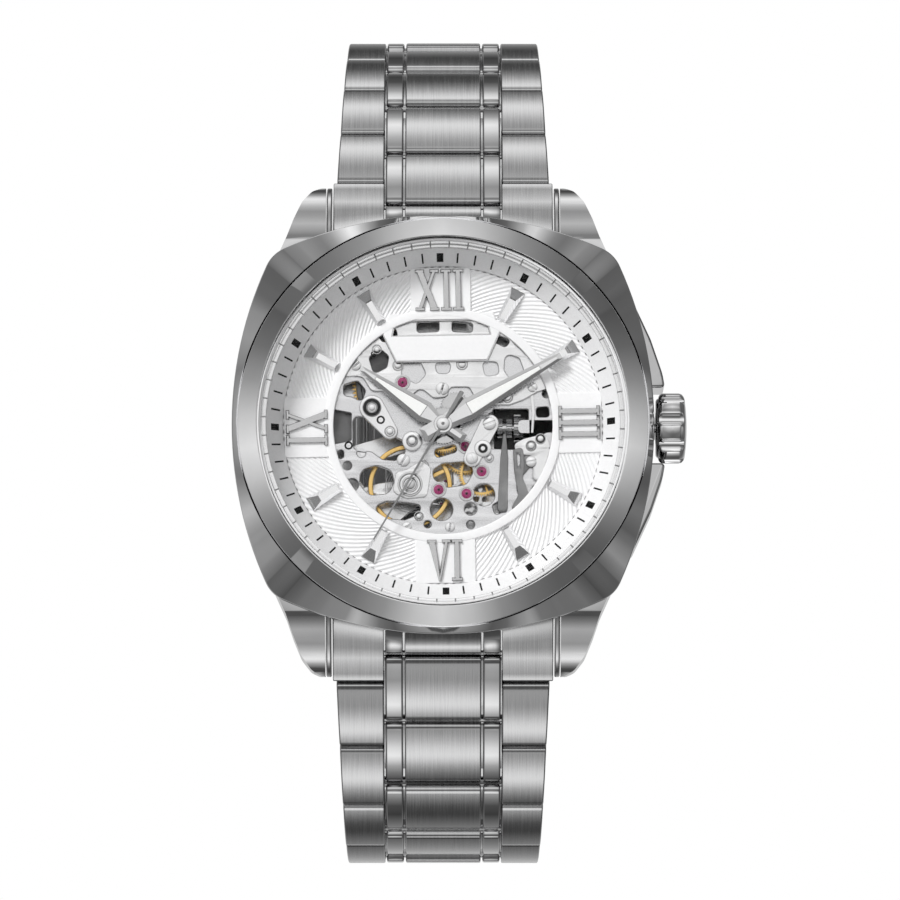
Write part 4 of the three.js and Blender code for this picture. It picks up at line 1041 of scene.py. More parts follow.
def hand_blade(length, tip, tail, tail_half, half, widest, low):
    """A lance-shaped blade and tail: long facets rising to a flat middle."""
    neck = tail_half * 1.06
    outline = [(-tip, length), (-half, widest), (-neck, 0.6), (-tail_half, -tail)]
    outline += [(-x, y) for x, y in reversed(outline)]
    flat = [(-tip * 0.35, length - 0.5), (-half * 0.58, widest + 0.1), (-neck * 0.4, 0.5),
            (-tail_half * 0.4, -tail + 0.4)]
    flat += [(-x, y) for x, y in reversed(flat)]
    verts = [(x, y, low) for x, y in outline] + [(x, y, low + BLADE_EDGE) for x, y in outline]
    verts += [(x, y, low + BLADE_RISE) for x, y in flat]
    size = len(outline)
    return Shape(verts, [list(range(size))[::-1], [2 * size + k for k in range(size)], *skin(3, size)])


def lume_strip(length, tip, half, widest, level, thick, grow=0.0):
    """The long inlay of a hand, wide near the hub and narrow towards the tip."""
    start, end = widest + 0.15, length * 0.82
    outline = [(-half * 0.57, start), (half * 0.57, start), (tip * 0.5, end), (-tip * 0.5, end)]
    return prism(inset(outline, -grow), level, level + thick, 0.02, steps=1)


def make_hands():
    """The hour, minute and second hands, each over the one before."""
    for name, (angle, length, tip, tail, tail_half, half, widest, low) in HANDS.items():
        blade = hand_blade(length, tip, tail, tail_half, half, widest, low)
        hub = ring(0.6, 0.92, low - 0.02, low + BLADE_RISE + 0.02, bevel=0.05)
        level = low + BLADE_RISE - 0.1
        rim = lume_strip(length, tip, half, widest, level, 0.12, 0.05)
        lume = lume_strip(length, tip, half, widest, level, 0.14)
        piece(name + "_blade", merged(blade, hub).at(0, 0, 0, -angle), "hands", name, name, sharp=FACETS)
        piece(name + "_inlay_rim", rim.at(0, 0, 0, -angle), "grey_steel", name)
        piece(name + "_lume", lume.at(0, 0, 0, -angle), "lume", name)
    make_second_hand()


def make_second_hand():
    """A thin needle with a broader tail, on an arbor through the middle of the watch."""
    name, low, angle = "second_hand", 9.5, 210.7
    needle = prism([(-0.13, 0), (0.13, 0), (0.075, 13.5), (-0.075, 13.5)], low, low + 0.11, 0.03)
    tail = fillet([(-0.24, -3.75), (0.24, -3.75), (0.13, 0), (-0.13, 0)], 0.15, 3)
    tail = prism(tail, low, low + 0.1, 0.03)
    hub = ring(0, 0.66, low - 0.02, low + 0.17, bevel=0.08)
    cap = ring(0, 0.17, low + 0.1, low + 0.19, steps=32, bevel=0.03)
    piece(name + "_needle", merged(needle, tail).at(0, 0, 0, -angle), "grey_steel", name, name)
    piece(name + "_hub", merged(hub, arbor((0, 0), 0.14, 3.95, low)), "hands", name)
    piece(name + "_cap", cap, "grey_steel", name)


# ---------------------------------------------------------------- movement
def toothed(radius, teeth, depth, at=(0, 0)):
    """Outline of a wheel with trapezoid teeth."""
    points = []
    step = 2 * math.pi / teeth
    for k in range(teeth):
        for share, r in ((-0.32, radius - depth), (-0.12, radius), (0.12, radius), (0.32, radius - depth)):
            a = (k + share) * step
            points.append((at[0] + r * math.cos(a), at[1] + r * math.sin(a)))
    return points


def spoke_windows(inner, outer, spokes, arm, at):
    """Openings between the spokes of a wheel."""
    far, near = math.asin(arm / outer) / DEG, math.asin(arm / inner) / DEG
    windows = []
    for k in range(spokes):
        a, b = 360 * k / spokes, 360 * (k + 1) / spokes
        window = arc(at, outer, a + far, b - far, 10) + arc(at, inner, b - near, a + near, 5)
        windows.append(fillet(window, 0.06, 2))
    return windows


def gear(at, radius, teeth, low, high, spokes):
    """A toothed wheel, with arms between its hub and rim if it has spokes."""
    rim, hub, arm = 0.45, 0.5, 0.1
    windows = spoke_windows(hub, radius - rim, spokes, arm, at)
    return prism(toothed(radius, teeth, radius * 0.07 + 0.05, at), low, high, 0.015, windows, 1)


def pinion(at, radius, leaves, low, high):
    """A small wheel with deep leaves."""
    return prism(toothed(radius, leaves, radius * 0.3, at), low, high, 0.02, steps=1)


def axis(joint):
    """Where the axis of a joint stands, seen from the front."""
    return pivot(joint)[:2]


def arbor(at, radius, low, high):
    """An upright shaft."""
    return ring(0, radius, low, high, at, 24, 0.02)


def screw(x, y, top, radius=0.62, turn=0.0, height=0.22):
    """A slotted screw head: two half discs over a lower core."""
    slot_half = 0.09
    half = [(px, max(py, slot_half)) for px, py in arc((0, 0), radius, 8, 172, 16)]
    head = merged(prism(half, top - height, top, 0.04),
                  prism([(px, -py) for px, py in half], top - height, top, 0.04),
                  ring(0, radius - 0.05, top - height, top - 0.1, steps=32, bevel=0.01))
    return head.at(x, y, 0, turn)


def cup(x, y, top, outer, inner, depth=0.12):
    """A ring raised around a jewel, a post or a hole."""
    return lathe(fillet([(inner, top - 0.3), (outer, top - 0.3), (outer, top), (inner + 0.08, top),
                         (inner, top - depth)], 0.03, 2), 40, (x, y))


def capsule(a, b, near, far):
    """Outline of a bar between two points, each end round with its own radius."""
    heading = math.atan2(b[1] - a[1], b[0] - a[0]) / DEG
    return arc(a, near, heading + 90, heading + 270) + arc(b, far, heading - 90, heading + 90)


PLATE_LOW, PLATE_HIGH = levels("main_plate")
UPPER = PLATE_HIGH + 0.42  # face of the bridges that lie on the plate under the dial
OVER = PLATE_HIGH + 0.62  # highest covers, still below the dial

PLATE_WINDOWS = [  # corners, and the radius that rounds them
    ([(-8.2, -4.4), (-6.6, -3.9), (-5.1, -4.4), (-4.9, -5.6), (-5.4, -6.7), (-7.3, -6.9), (-8.3, -5.8)], 0.9),
    ([(-7.0, -8.1), (-5.6, -7.5), (-3.6, -7.65), (-2.1, -7.9), (-2.5, -8.8), (-3.8, -9.35),
      (-5.8, -9.2)], 0.45),
    ([(1.3, -3.6), (2.75, -3.5), (3.0, -4.6), (2.3, -5.8), (0.4, -6.1), (-0.85, -5.3), (-1.1, -4.4),
      (0, -3.7)], 0.7),
    ([(-0.9, -2.3), (1.2, -1.75), (1.45, -2.5), (-0.7, -3.15)], 0.35),
    ([(-8.95, 0.95), (-7.2, 1.0), (-6.2, 0.2), (-5.0, -0.9), (-3.9, -1.5), (-3.75, -2.6), (-4.7, -3.4),
      (-6.0, -3.3), (-7.1, -2.5), (-8.95, -2.3)], 0.5),
    ([(4.4, -2.2), (4.5, 1.25), (4.95, 1.45), (4.95, 1.74), (8.5, 1.74), (8.5, -1.7), (7.0, -2.3)], 0.2),
    ([(7.6, -0.55), (12.9, -0.55), (12.9, 0.55), (7.6, 0.55)], 0.3),
    ([(-9.9, 4.2), (-8.5, 4.6), (-7.7, 3.6), (-8.1, 2.5), (-9.1, 3.0), (-9.9, 3.1)], 0.4),
    ([(9.2, -3.9), (10.4, -3.4), (10.1, -5.0), (9.5, -5.3)], 0.3),
    ([(9.3, 1.9), (10.5, 2.0), (10.6, 0.95), (9.3, 0.95)], 0.3),
    ([(4.9, -7.9), (6.0, -7.3), (6.2, -8.4), (5.2, -8.9)], 0.3),
    ([(-10.6, -2.5), (-9.9, -2.3), (-9.9, -3.1), (-10.4, -3.3)], 0.25),
]
PLATE_ROUND = [  # x, y, radius
    (-0.15, -8.3, 1.12), (4.05, -6.85, 1.1), (2.75, -8.25, 0.62), (10.3, 3.3, 0.4), (-8.14, -2.67, 0.42),
    (-9.52, -3.92, 0.42), (-9.02, -5.84, 0.6), (-1.53, -9.8, 0.35), (2.75, -9.83, 0.4), (-3.9, 9.63, 0.4),
    (9.3, -6.3, 0.4), (7.6, -7.9, 0.35),
]
BARREL_WINDOW = [(-10.95, 1.7), (-9.15, 1.35), (-9.15, -1.4), (-10.95, -1.75)]
BARREL_SHADE_SHEET = [(-11.3, 2.2), (-8.9, 1.8), (-8.9, -1.8), (-11.3, -2.2)]  # a dark sheet that closes the barrel window: painted shade
STEM_SHADE_SHEET = [(5.1, 2.4), (13.0, 2.4), (13.0, -2.7), (5.1, -2.7)]  # a near-black sheet that closes the space under the stem: painted shade
CUT_THROUGH = (0, 5, 6, 7, 8)  # pockets that also pass through the main plate
UPPER_POCKETS = [  # corners, and the radius that rounds them
    ([(-7.4, 6.9), (-6.2, 7.7), (-5.4, 7.0), (-5.6, 5.9), (-6.9, 5.2)], 0.4),
    ([(-4.1, 6.5), (-2.3, 6.5), (-1.7, 5.2), (-2.6, 4.2), (-4.1, 5.0)], 0.5),
    ([(-0.8, 6.4), (0.8, 6.4), (0.6, 5.3), (-0.6, 5.3)], 0.4),
    ([(3.9, 6.5), (5.4, 6.4), (5.6, 5.2), (4.2, 5.0)], 0.4),
    ([(6.2, 7.3), (7.6, 6.8), (8.1, 5.4), (6.8, 4.6), (6.1, 5.6)], 0.5),
    ([(-6.6, 9.3), (-4.8, 9.9), (-4.5, 9.0), (-6.0, 8.4)], 0.35),
    ([(5.0, 9.3), (6.8, 8.6), (6.2, 7.9), (4.8, 8.6)], 0.35),
    ([(-2.6, 10.5), (-0.4, 10.6), (-0.4, 9.5), (-2.6, 9.4)], 0.3),
    ([(0.9, 10.6), (3.0, 10.3), (2.9, 9.4), (0.9, 9.5)], 0.3),
]
RUBIES = [  # x, y, face
    (-4.03, 4.37, UPPER), (2.22, -1.99, PLATE_HIGH), (3.84, -4.5, PLATE_HIGH), (-0.43, -6.33, PLATE_HIGH),
    (2.34, -6.72, PLATE_HIGH),
]
# Near-black rings painted round some posts and holes: painted shade.
PAINTED_SHADE_RINGS = [  # x, y, face, outer and inner radius
    (-7.08, 1.86, OVER + 0.05, 0.88, 0.5), (-6.2, 0.62, UPPER + 0.06, 0.42, 0.2),
    (3.97, -2.26, OVER + 0.08, 0.46, 0.2), (-6.9, 7.25, UPPER + 0.04, 0.3, 0.1),
    (9.7, -1.3, OVER + 0.04, 0.48, 0.34), (6.4, 2.9, UPPER + 0.05, 0.55, 0.42),
    (-2.4, -9.0, PLATE_HIGH + 0.05, 0.42, 0.3), (-9.4, -1.9, PLATE_HIGH + 0.05, 0.42, 0.2),
    (8.3, -7.9, PLATE_HIGH + 0.5, 0.34, 0.16),
]
SCREWS = [  # x, y, face, radius, turn of the slot
    (-0.07, 3.76, UPPER, 0.66, 75), (4.62, 0.23, OVER, 0.66, 20), (2.88, -3.26, OVER, 0.6, 110),
    (-3.94, -3.38, PLATE_HIGH, 0.66, 60), (-3.6, -10.05, PLATE_HIGH, 0.5, 30),
    (0.7, -10.1, PLATE_HIGH, 0.5, 80), (8.77, -3.6, OVER, 0.55, 10), (-8.7, 6.1, UPPER, 0.55, 40),
    (8.9, 3.9, UPPER, 0.5, 130),
]
STUDS = [  # x, y, face, radius
    (1.89, 6.2, UPPER, 0.4), (-3.08, -1.52, OVER, 0.42), (-1.92, -3.92, PLATE_HIGH, 0.36),
    (8.77, -2.0, OVER, 0.36), (9.7, -1.3, OVER, 0.34), (-5.29, -0.53, UPPER, 0.36), (-4.5, 6.08, UPPER, 0.36),
    (-6.6, 7.7, UPPER, 0.3), (6.4, 2.9, UPPER, 0.4), (-2.4, -9.0, PLATE_HIGH, 0.3),
    (4.6, -3.15, PLATE_HIGH, 0.3),
]
BALANCE_SETTING = (-3.28, -5.81)  # centre of the rings over the balance staff


def main_plate():
    """The dial side of the movement: a pearled plate cut through with many windows."""
    holes = [fillet(points, radius, 5) for points, radius in PLATE_WINDOWS]
    holes += [circle(r, (x, y), 28) for x, y, r in PLATE_ROUND]
    holes.append(fillet(BARREL_WINDOW, 0.15, 3))
    holes += [fillet(UPPER_POCKETS[k][0], UPPER_POCKETS[k][1], 4) for k in CUT_THROUGH]
    return prism(circle(13.0, steps=144), PLATE_LOW, PLATE_HIGH, 0.1, holes, 3)


def upper_bridge():
    """The bridge under the name plate, with pockets milled through it."""
    outer = arc((0, 0), 12.6, 22, 158, 48)
    lower = fillet([
        (-9.6, 5.1), (-8.0, 4.9, 0.8), (-7.1, 3.4, 0.8), (-5.9, 3.5, 0.8), (-5.2, 2.9, 0.6),
        (-3.2, 3.0, 0.8), (-2.2, 3.8, 0.6), (-0.9, 2.75, 0.6), (0.5, 2.9, 0.5), (0.6, 3.9, 0.6),
        (2.6, 3.9, 0.5), (3.4, 2.4, 0.6), (5.4, 2.1, 0.6), (6.6, 2.1, 0.5), (8.0, 2.6, 0.7), (9.4, 3.4, 0.6),
        (11.3, 4.0, 0),
    ], 0.4, 4)
    outline = outer + [p for p in lower if math.hypot(*p) < 12.3]
    holes = [fillet(points, radius, 4) for points, radius in UPPER_POCKETS]
    return prism(outline, PLATE_HIGH - 0.02, UPPER, 0.09, holes, 3)


def small_covers():
    """Low covers and cocks screwed on under the dial."""
    left = capsule((-7.08, 1.86), (-5.29, -0.53), 1.25, 0.8)
    right = capsule((4.62, 0.23), (2.88, -3.26), 0.95, 0.85)
    bushing = circle(0.85, (3.97, -2.26), 32)
    detent = fillet([(6.9, -1.9), (8.0, -1.3), (10.2, -0.75), (10.75, -2.2), (9.6, -5.6), (8.9, -5.4),
                     (9.0, -3.0), (7.6, -2.9)], 0.45, 4)
    lower = fillet([(-2.2, -3.4), (-1.2, -4.1), (-1.3, -5.3), (-1.6, -7.1), (-3.6, -7.3), (-5.0, -6.6),
                    (-4.7, -4.6), (-3.6, -4.3)], 0.5, 4)
    spring = fillet([(8.55, 4.9), (8.9, 4.9), (9.15, 1.2), (9.0, -0.7), (8.75, -0.7), (8.85, 1.2)], 0.12, 3)
    low = PLATE_HIGH - 0.02
    return merged(
        prism(left, low, UPPER, 0.07, steps=3),
        prism(right, low, OVER - 0.12, 0.07, steps=3),
        prism(bushing, low, OVER - 0.02, 0.07, steps=3),
        prism(circle(1.0, (-3.08, -1.52), 40), low, OVER - 0.12, 0.08, steps=3),
        prism(detent, PLATE_HIGH + 0.38, OVER - 0.1, 0.05, steps=2),
        prism(lower, low, PLATE_HIGH + 0.2, 0.06, steps=3),
        prism(spring, low, PLATE_HIGH + 0.25, 0.03),
    )


def setting_spring():
    """The grey spring beside the yoke that holds the setting lever, with a slot in its head."""
    outline = fillet([(6.95, -2.35), (7.95, -2.1), (8.15, -3.9), (7.95, -5.2), (8.75, -7.3), (8.3, -8.5),
                      (7.2, -8.9), (6.8, -8.2), (7.5, -6.9), (7.1, -4.6)], 0.35, 4)
    slot = fillet([(7.35, -2.75), (7.65, -2.7), (7.7, -4.3), (7.45, -4.3)], 0.12, 4)
    return prism(outline, 7.5, 7.64, 0.04, [slot])


def raised_rings():
    """Polished rings around jewels, screws and posts, and the balance's shock setting."""
    rings = [cup(x, y, top + 0.05, 0.78, 0.5) for x, y, top in RUBIES]
    rings += [cup(x, y, top + 0.06, r + 0.2, r + 0.03) for x, y, top, r in STUDS]
    rings += [cup(-7.08, 1.86, OVER, 0.95, 0.42), cup(3.97, -2.26, OVER + 0.06, 0.5, 0.24)]
    level = PLATE_HIGH + 0.2
    rings += [cup(*BALANCE_SETTING, level + 0.14, 1.25, 0.98), cup(*BALANCE_SETTING, level + 0.1, 0.82, 0.56),
              ring(0, 0.5, level - 0.1, level + 0.12, BALANCE_SETTING, 32, 0.06)]
    return merged(*rings)


def studs():
    """Polished ends of posts."""
    return merged(*[ring(0, r, top - 0.1, top + 0.14, (x, y), 28, 0.09) for x, y, top, r in STUDS],
                  ring(0, 0.34, OVER - 0.2, OVER - 0.02, (-7.08, 1.86), 28, 0.06))


def jewels():
    """Rubies with a rounded face."""
    radius = 0.5
    profile = [(0.0, -0.25), (radius, -0.25), (radius, 0.0), (radius - 0.1, 0.04), (0.0, 0.04)]
    return merged(*[lathe(profile, 40).at(x, y, top) for x, y, top in RUBIES])


def painted_shade_rings():
    """Near-black collars round some posts and near-black discs in the middle of the jewels: painted shade in
    the recesses and holes.
    """
    shade_collars = [cup(x, y, top, outer, inner) for x, y, top, outer, inner in PAINTED_SHADE_RINGS]
    hole_shades = [ring(0, 0.13, top - 0.1, top + 0.055, (x, y), 20, 0.02) for x, y, top in RUBIES]
    return merged(*shade_collars, *hole_shades)


def holder_ring():
    """The ring that holds the movement in the case, bored for the stem."""
    low, high = levels("movement_holder")
    body = lathe(fillet([(13.1, low), (16.4, low), (16.4, high), (13.1, high)], 0.08, 2), 144)
    return boolean(body, on_stem(lathe([(0, 12), (0.9, 12), (0.9, 18), (0, 18)], 24)), "DIFFERENCE")


def make_dial_side():
    """What shows through the open dial, apart from the wheels."""
    piece("main_plate_pearled", main_plate(), "plate", "case", "main_plate")
    piece("upper_bridge", upper_bridge(), "bridge", "case")
    piece("dial_side_covers", small_covers(), "bridge", "case")
    piece("setting_spring", setting_spring(), "grey_steel", "case")
    # a dark grey sheet in the barrel window, painted shade for the depth behind it
    piece("barrel_shade_sheet", prism(BARREL_SHADE_SHEET, 5.8, 6.0, 0.03), "drum", "case")
    # a near-black sheet under the keyless works, painted shade in that window
    piece("stem_shade_sheet", prism(STEM_SHADE_SHEET, 3.98, 4.05, 0.02), "painted_shade_black", "case")
    piece("dial_side_rings", raised_rings(), "small_steel", "case")
    piece("dial_side_studs", studs(), "bright", "case")
    # painted shade round posts and in the jewels' holes
    piece("dial_side_painted_shade", painted_shade_rings(), "painted_shade_black", "case")
    screws = [screw(x, y, top + 0.1, r, turn) for x, y, top, r, turn in SCREWS]
    piece("dial_side_screws", merged(*screws), "bright", "case")
    piece("dial_side_jewels", jewels(), "ruby", "case")
    piece("holder_ring", holder_ring(), "silver", "case", "movement_holder")


WHEELS = {
    # axis, radius, teeth, lower and upper face, spokes, radius, leaves and faces of its pinion, radius and
    # ends of its arbor
    "centre_wheel": ((0, 0), 2.58, 64, 5.85, 6.02, 4, 0.78, 12, 4.95, 5.9, 0.32, 4.85, 6.9),
    "third_wheel": (axis("third_wheel_turn"), 2.58, 60, 4.4, 4.57, 5, 0.3, 8, 5.7, 6.1, 0.12, 3.2, 6.8),
    "fourth_wheel": (axis("fourth_wheel_turn"), 2.34, 56, 5.2, 5.37, 5, 0.3, 8, 4.3, 4.7, 0.12, 3.2, 6.8),
    "escape_wheel": (axis("escape_wheel_turn"), 1.75, 15, 4.98, 5.12, 4, 0.22, 6, 5.15, 5.6, 0.12, 3.2, 6.8),
}


def make_barrel(barrel):
    """The mainspring's drum with its toothed rim, on its arbor."""
    drum = lathe(fillet([
        (0.5, 4.15, 0), (4.7, 4.15), (4.7, 4.3), (4.7, 5.7), (4.2, 5.7), (4.15, 5.62), (0.9, 5.62),
        (0.85, 5.7), (0.5, 5.7, 0),
    ], 0.04, 2), 96, barrel)
    piece("barrel_drum", drum, "drum", "mainspring_barrel", "mainspring_barrel")
    rim = prism(toothed(5.05, 84, 0.3, barrel), 4.5, 4.75, 0.01, [circle(4.6, barrel, 64)], 1)
    barrel_arbor = merged(arbor(barrel, 0.5, 3.75, 5.7), arbor(barrel, 0.22, 5.6, 6.9))
    piece("barrel_teeth", rim, "gold", "mainspring_barrel")
    piece("barrel_arbor", barrel_arbor, "small_steel", "mainspring_barrel")


def make_train():
    """Wheels that carry power from the barrel to the escapement, and those that wind the barrel."""
    barrel = axis("mainspring_barrel_turn")
    make_barrel(barrel)
    for name, (at, radius, teeth, low, high, spokes, *core) in WHEELS.items():
        leaf, leaves, under, over, shaft, foot, head = core
        look = "small_steel" if name == "escape_wheel" else "gold"
        piece(name + "_rim", gear(at, radius, teeth, low, high, spokes), look, name, name)
        steel = merged(pinion(at, leaf, leaves, under, over), arbor(at, shaft, foot, head))
        piece(name + "_pinion", steel, "small_steel", name)
    for name, at, radius, teeth, bore in (("ratchet_wheel", barrel, 4.82, 68, 0.62),
                                          ("crown_wheel", axis("crown_wheel_turn"), 4.02, 58, 0.7)):
        body = prism(toothed(radius, teeth, 0.22, at), 3.65, 3.95, 0.02, [circle(bore, at, 32)], 1)
        piece(name + "_polished", body, "small_steel", name, name)


def hairspring(at):
    """A flat spiral spring of many turns around the balance staff."""
    turns, inner, outer, half, low, high = 9, 0.55, 2.6, 0.028, 4.75, 4.95
    steps = turns * 28
    verts = []
    for k in range(steps + 1):
        r = inner + (outer - inner) * k / steps
        a = 2 * math.pi * turns * k / steps
        for edge, z in ((half, low), (half, high), (-half, high), (-half, low)):
            verts.append((at[0] + (r + edge) * math.cos(a), at[1] + (r + edge) * math.sin(a), z))
    return Shape(verts, [[0, 1, 2, 3], [4 * steps + j for j in (3, 2, 1, 0)], *skin(steps + 1, 4)])


def make_balance():
    """The balance wheel with its staff and hairspring."""
    at = axis("balance_swing")
    rim = lathe(fillet([(3.7, 5.25), (4.2, 5.25), (4.2, 5.65), (3.7, 5.65)], 0.08, 3), 96, at)
    side = [(-3.8, -0.22), (-0.6, -0.3), (0.6, -0.3), (3.8, -0.22)]
    arms = fillet(side + [(x, -y) for x, y in reversed(side)], 0.1, 2)
    piece("balance_rim", merged(rim, prism(arms, 5.36, 5.54, 0.03).at(*at, 0, 25)), "gold", "balance_wheel",
          "balance_wheel")
    staff = merged(arbor(at, 0.1, 3.2, 6.9), arbor(at, 0.25, 4.6, 6.1), arbor(at, 0.45, 4.5, 4.66))
    piece("balance_staff", staff, "small_steel", "balance_wheel")
    piece("hairspring", hairspring(at), "grey_steel", "balance_wheel")


def make_pallet_fork():
    """The forked lever between the escape wheel and the balance, and its two stones."""
    at, balance = axis("pallet_fork_swing"), axis("balance_swing")
    towards = math.atan2(balance[1] - at[1], balance[0] - at[0]) / DEG
    side = [(-0.5, -1.2), (-0.25, -1.2), (0.15, -0.3), (1.9, -0.12), (2.3, -0.3)]
    lever = fillet(side + [(x, -y) for x, y in reversed(side)] + [(-0.4, 0)], 0.05, 2)
    fork = merged(prism(lever, 4.98, 5.12, 0.02, steps=1).at(*at, 0, towards), arbor(at, 0.12, 3.2, 6.8))
    piece("pallet_fork_steel", fork, "small_steel", "pallet_fork", "pallet_fork")
    block = prism([(-0.62, -0.12), (-0.3, -0.12), (-0.3, 0.12), (-0.62, 0.12)], 4.94, 5.16, 0.02)
    stones = merged(block.at(0, -1.16), block.at(0, 1.16)).at(*at, 0, towards)
    piece("pallet_stones", stones, "ruby", "pallet_fork")


def make_hand_works():
    """Cannon pinion, hour wheel and minute wheel."""
    cannon = merged(lathe([(0.38, 7.15), (0.5, 7.15), (0.5, 9.3), (0.38, 9.3)], 40),
                    prism(toothed(0.75, 12, 0.18), 7.15, 7.45, 0.02, [circle(0.4, steps=24)], 1))
    piece("cannon_pinion_steel", cannon, "small_steel", "minute_hand", "cannon_pinion")
    hour = merged(prism(toothed(1.95, 40, 0.2), 7.55, 7.75, 0.02, [circle(0.62, steps=32)], 1),
                  lathe([(0.6, 7.6), (0.78, 7.6), (0.78, 8.86), (0.6, 8.86)], 40))
    piece("hour_wheel_steel", hour, "small_steel", "hour_hand", "hour_wheel")
    at = axis("minute_wheel_turn")
    minute = merged(gear(at, 1.45, 30, 7.15, 7.35, 0), pinion(at, 0.3, 8, 7.33, 7.75),
                    arbor(at, 0.2, 6.6, 7.2))
    piece("minute_wheel_steel", minute, "small_steel", "minute_wheel", "minute_wheel")


def make_setting_works():
    """Pinions on the stem, and the lever and yoke that shift one of them when the crown is pulled."""
    bore = [circle(0.52, steps=24)]
    sliding = merged(prism(toothed(0.95, 14, 0.25), 5.4, 5.95, 0.03, bore, 1),
                     prism(circle(0.7, steps=32), 5.9, 6.35, 0.0, bore),
                     prism(toothed(0.95, 14, 0.22), 6.3, 6.9, 0.03, bore, 1))
    winding = merged(prism(toothed(1.4, 20, 0.3), 7.05, 7.75, 0.03, bore, 1),
                     prism(toothed(1.05, 14, 0.22), 7.7, 8.2, 0.03, bore, 1))
    piece("sliding_pinion_steel", on_stem(sliding), "small_steel", "sliding_pinion", "sliding_pinion")
    piece("winding_pinion_steel", on_stem(winding), "small_steel", "winding_pinion", "winding_pinion")
    lever = fillet([(7.1, -4.6, 0.3), (7.9, -5.0, 0.3), (8.6, -4.2, 0.6), (9.3, -2.6, 0.8), (9.3, -1.4, 0.15),
                    (8.8, -1.4, 0.15), (8.4, -2.6, 0.8)], 0, 4)
    yoke = fillet([(5.4, -8.6, 0.4), (6.4, -8.6, 0.4), (6.5, -3.2, 0.8), (6.25, -0.75, 0.1),
                   (6.0, -0.75, 0.1), (5.7, -3.2, 0.8)], 0, 4)
    finger = prism([(6.0, -1.25), (6.25, -1.25), (6.25, -0.78), (6.0, -0.78)], 5.3, 7.2, 0.03)
    low, high = levels("setting_lever")
    piece("setting_lever_grey", prism(lever, low, high, 0.05), "grey_steel", "setting_lever", "setting_lever")
    piece("yoke_grey", merged(prism(yoke, low, high, 0.05), finger), "grey_steel", "yoke", "yoke")


PILLAR_R = 0.7
BRIDGE_FACE = 3.0  # face of the bridges towards the case back
BARREL_PILLARS = [(-9.6, 6.6), (3.0, 11.0), (10.7, 4.2)]
TRAIN_PILLARS = [(8.6, -3.6), (5.6, -9.2)]
COCK_PILLARS = [(-8.6, -7.2)]


def bridge(outline, holes, spots):
    """A back bridge: a plate with jewel holes, standing on pillars."""
    plate = prism(outline, BRIDGE_FACE, BRIDGE_FACE + 0.5, 0.12, [circle(r, at, 28) for r, at in holes], 3)
    return merged(plate, *[ring(0, PILLAR_R, 3.1, 6.18, at, 32, 0.04) for at in spots])


def turned_over(shape, level):
    """A shape turned to face the case back, its z = 0 at a level."""
    return Shape([(x, -y, level - z) for x, y, z in shape.verts], shape.faces)


def make_back_side():
    """Bridges, jewels and screws seen through the glass in the case back."""
    third, fourth = axis("third_wheel_turn"), axis("fourth_wheel_turn")
    escape, pallet, balance = axis("escape_wheel_turn"), axis("pallet_fork_swing"), axis("balance_swing")
    half = fillet(arc((0, 0), 12.2, 8, 172, 64) + [(-1.4, 1.4, 0.6), (1.4, 1.4, 0.6)], 0, 5)
    holes = [(0.6, axis("mainspring_barrel_turn")), (0.6, axis("crown_wheel_turn"))]
    piece("barrel_bridge_striped", bridge(half, holes, BARREL_PILLARS), "bridge", "case", "barrel_bridge")
    train = fillet([(-1.3, 1.2), (2.6, 1.1), (6.4, -0.6), (11.6, -2.6), (9.6, -7.4), (5.6, -10.7),
                    (1.7, -10.4), (1.0, -7.0), (0.9, -3.0), (-1.3, -1.4)], 0.5, 5)
    holes = [(0.3, at) for at in ((0, 0), third, fourth, escape)]
    piece("train_bridge_striped", bridge(train, holes, TRAIN_PILLARS), "bridge", "case", "train_bridge")
    cock = fillet([(-2.0, -4.6), (-0.2, -5.2), (0.55, -6.3), (0.3, -7.6), (-2.4, -7.4), (-6.0, -10.6),
                   (-9.2, -8.6), (-9.8, -6.2), (-6.4, -5.2)], 0.4, 5)
    holes = [(0.3, balance), (0.3, pallet)]
    piece("balance_cock_striped", bridge(cock, holes, COCK_PILLARS), "bridge", "case", "balance_cock")
    heads = BARREL_PILLARS + TRAIN_PILLARS + COCK_PILLARS
    screws = merged(*[screw(0, 0, 0.12, 0.62, 35 * k, 0.2).at(x, -y) for k, (x, y) in enumerate(heads)])
    piece("back_screws", turned_over(screws, BRIDGE_FACE + 0.02), "bright", "case")
    jewel = lathe([(0.14, -0.2), (0.42, -0.2), (0.42, 0.04), (0.34, 0.08), (0.14, 0.02)], 40)
    spots = merged(*[jewel.at(x, -y) for x, y in (third, fourth, escape, pallet, balance)])
    piece("back_jewels", turned_over(spots, BRIDGE_FACE + 0.02), "ruby", "case")


def rotor_window(start, end):
    """An opening in the rotor's web between two arcs, its outer corners rounded."""
    first, last = arc((0, 0), 9.6, start, end, 1)
    outer = arc((0, 0), 9.6, start + 3, end - 3, 16)
    inner = arc((0, 0), 4.0, end - 6, start + 6, 8)
    return fillet([(*first, 0.3), *outer, (*last, 0.3), *inner], 0, 3)


def make_rotor():
    """The half disc that winds the watch: a thin web, a heavy rim and a bearing."""
    start, end = 188, 352
    web = arc((0, 0), 11.6, start + 2, end - 2, 64)
    web += fillet([(1.9, 0.9), (1.2, 1.5), (-1.2, 1.5), (-1.9, 0.9)], 0.4, 4)
    windows = [rotor_window(202, 262), rotor_window(278, 338)]
    piece("rotor_web", prism(web, 1.75, 2.1, 0.06, windows, 2), "bridge", "rotor", "rotor")
    rim = arc((0, 0), 12.4, start, end, 72) + arc((0, 0), 10.6, end, start, 72)
    piece("rotor_weight", prism(rim, 1.5, 2.75, 0.14, steps=3), "brushed_round", "rotor")
    hub = merged(lathe(fillet([(0.9, 1.6), (1.9, 1.6), (1.9, 2.6), (0.9, 2.6)], 0.08, 3), 64),
                 ring(0, 0.8, 1.62, 2.85, steps=48, bevel=0.08))
    piece("rotor_bearing", hub, "small_steel", "rotor")


# ---------------------------------------------------------------- studio
BELOW = 7.0 * DEG  # the camera looks up at the dial by this angle


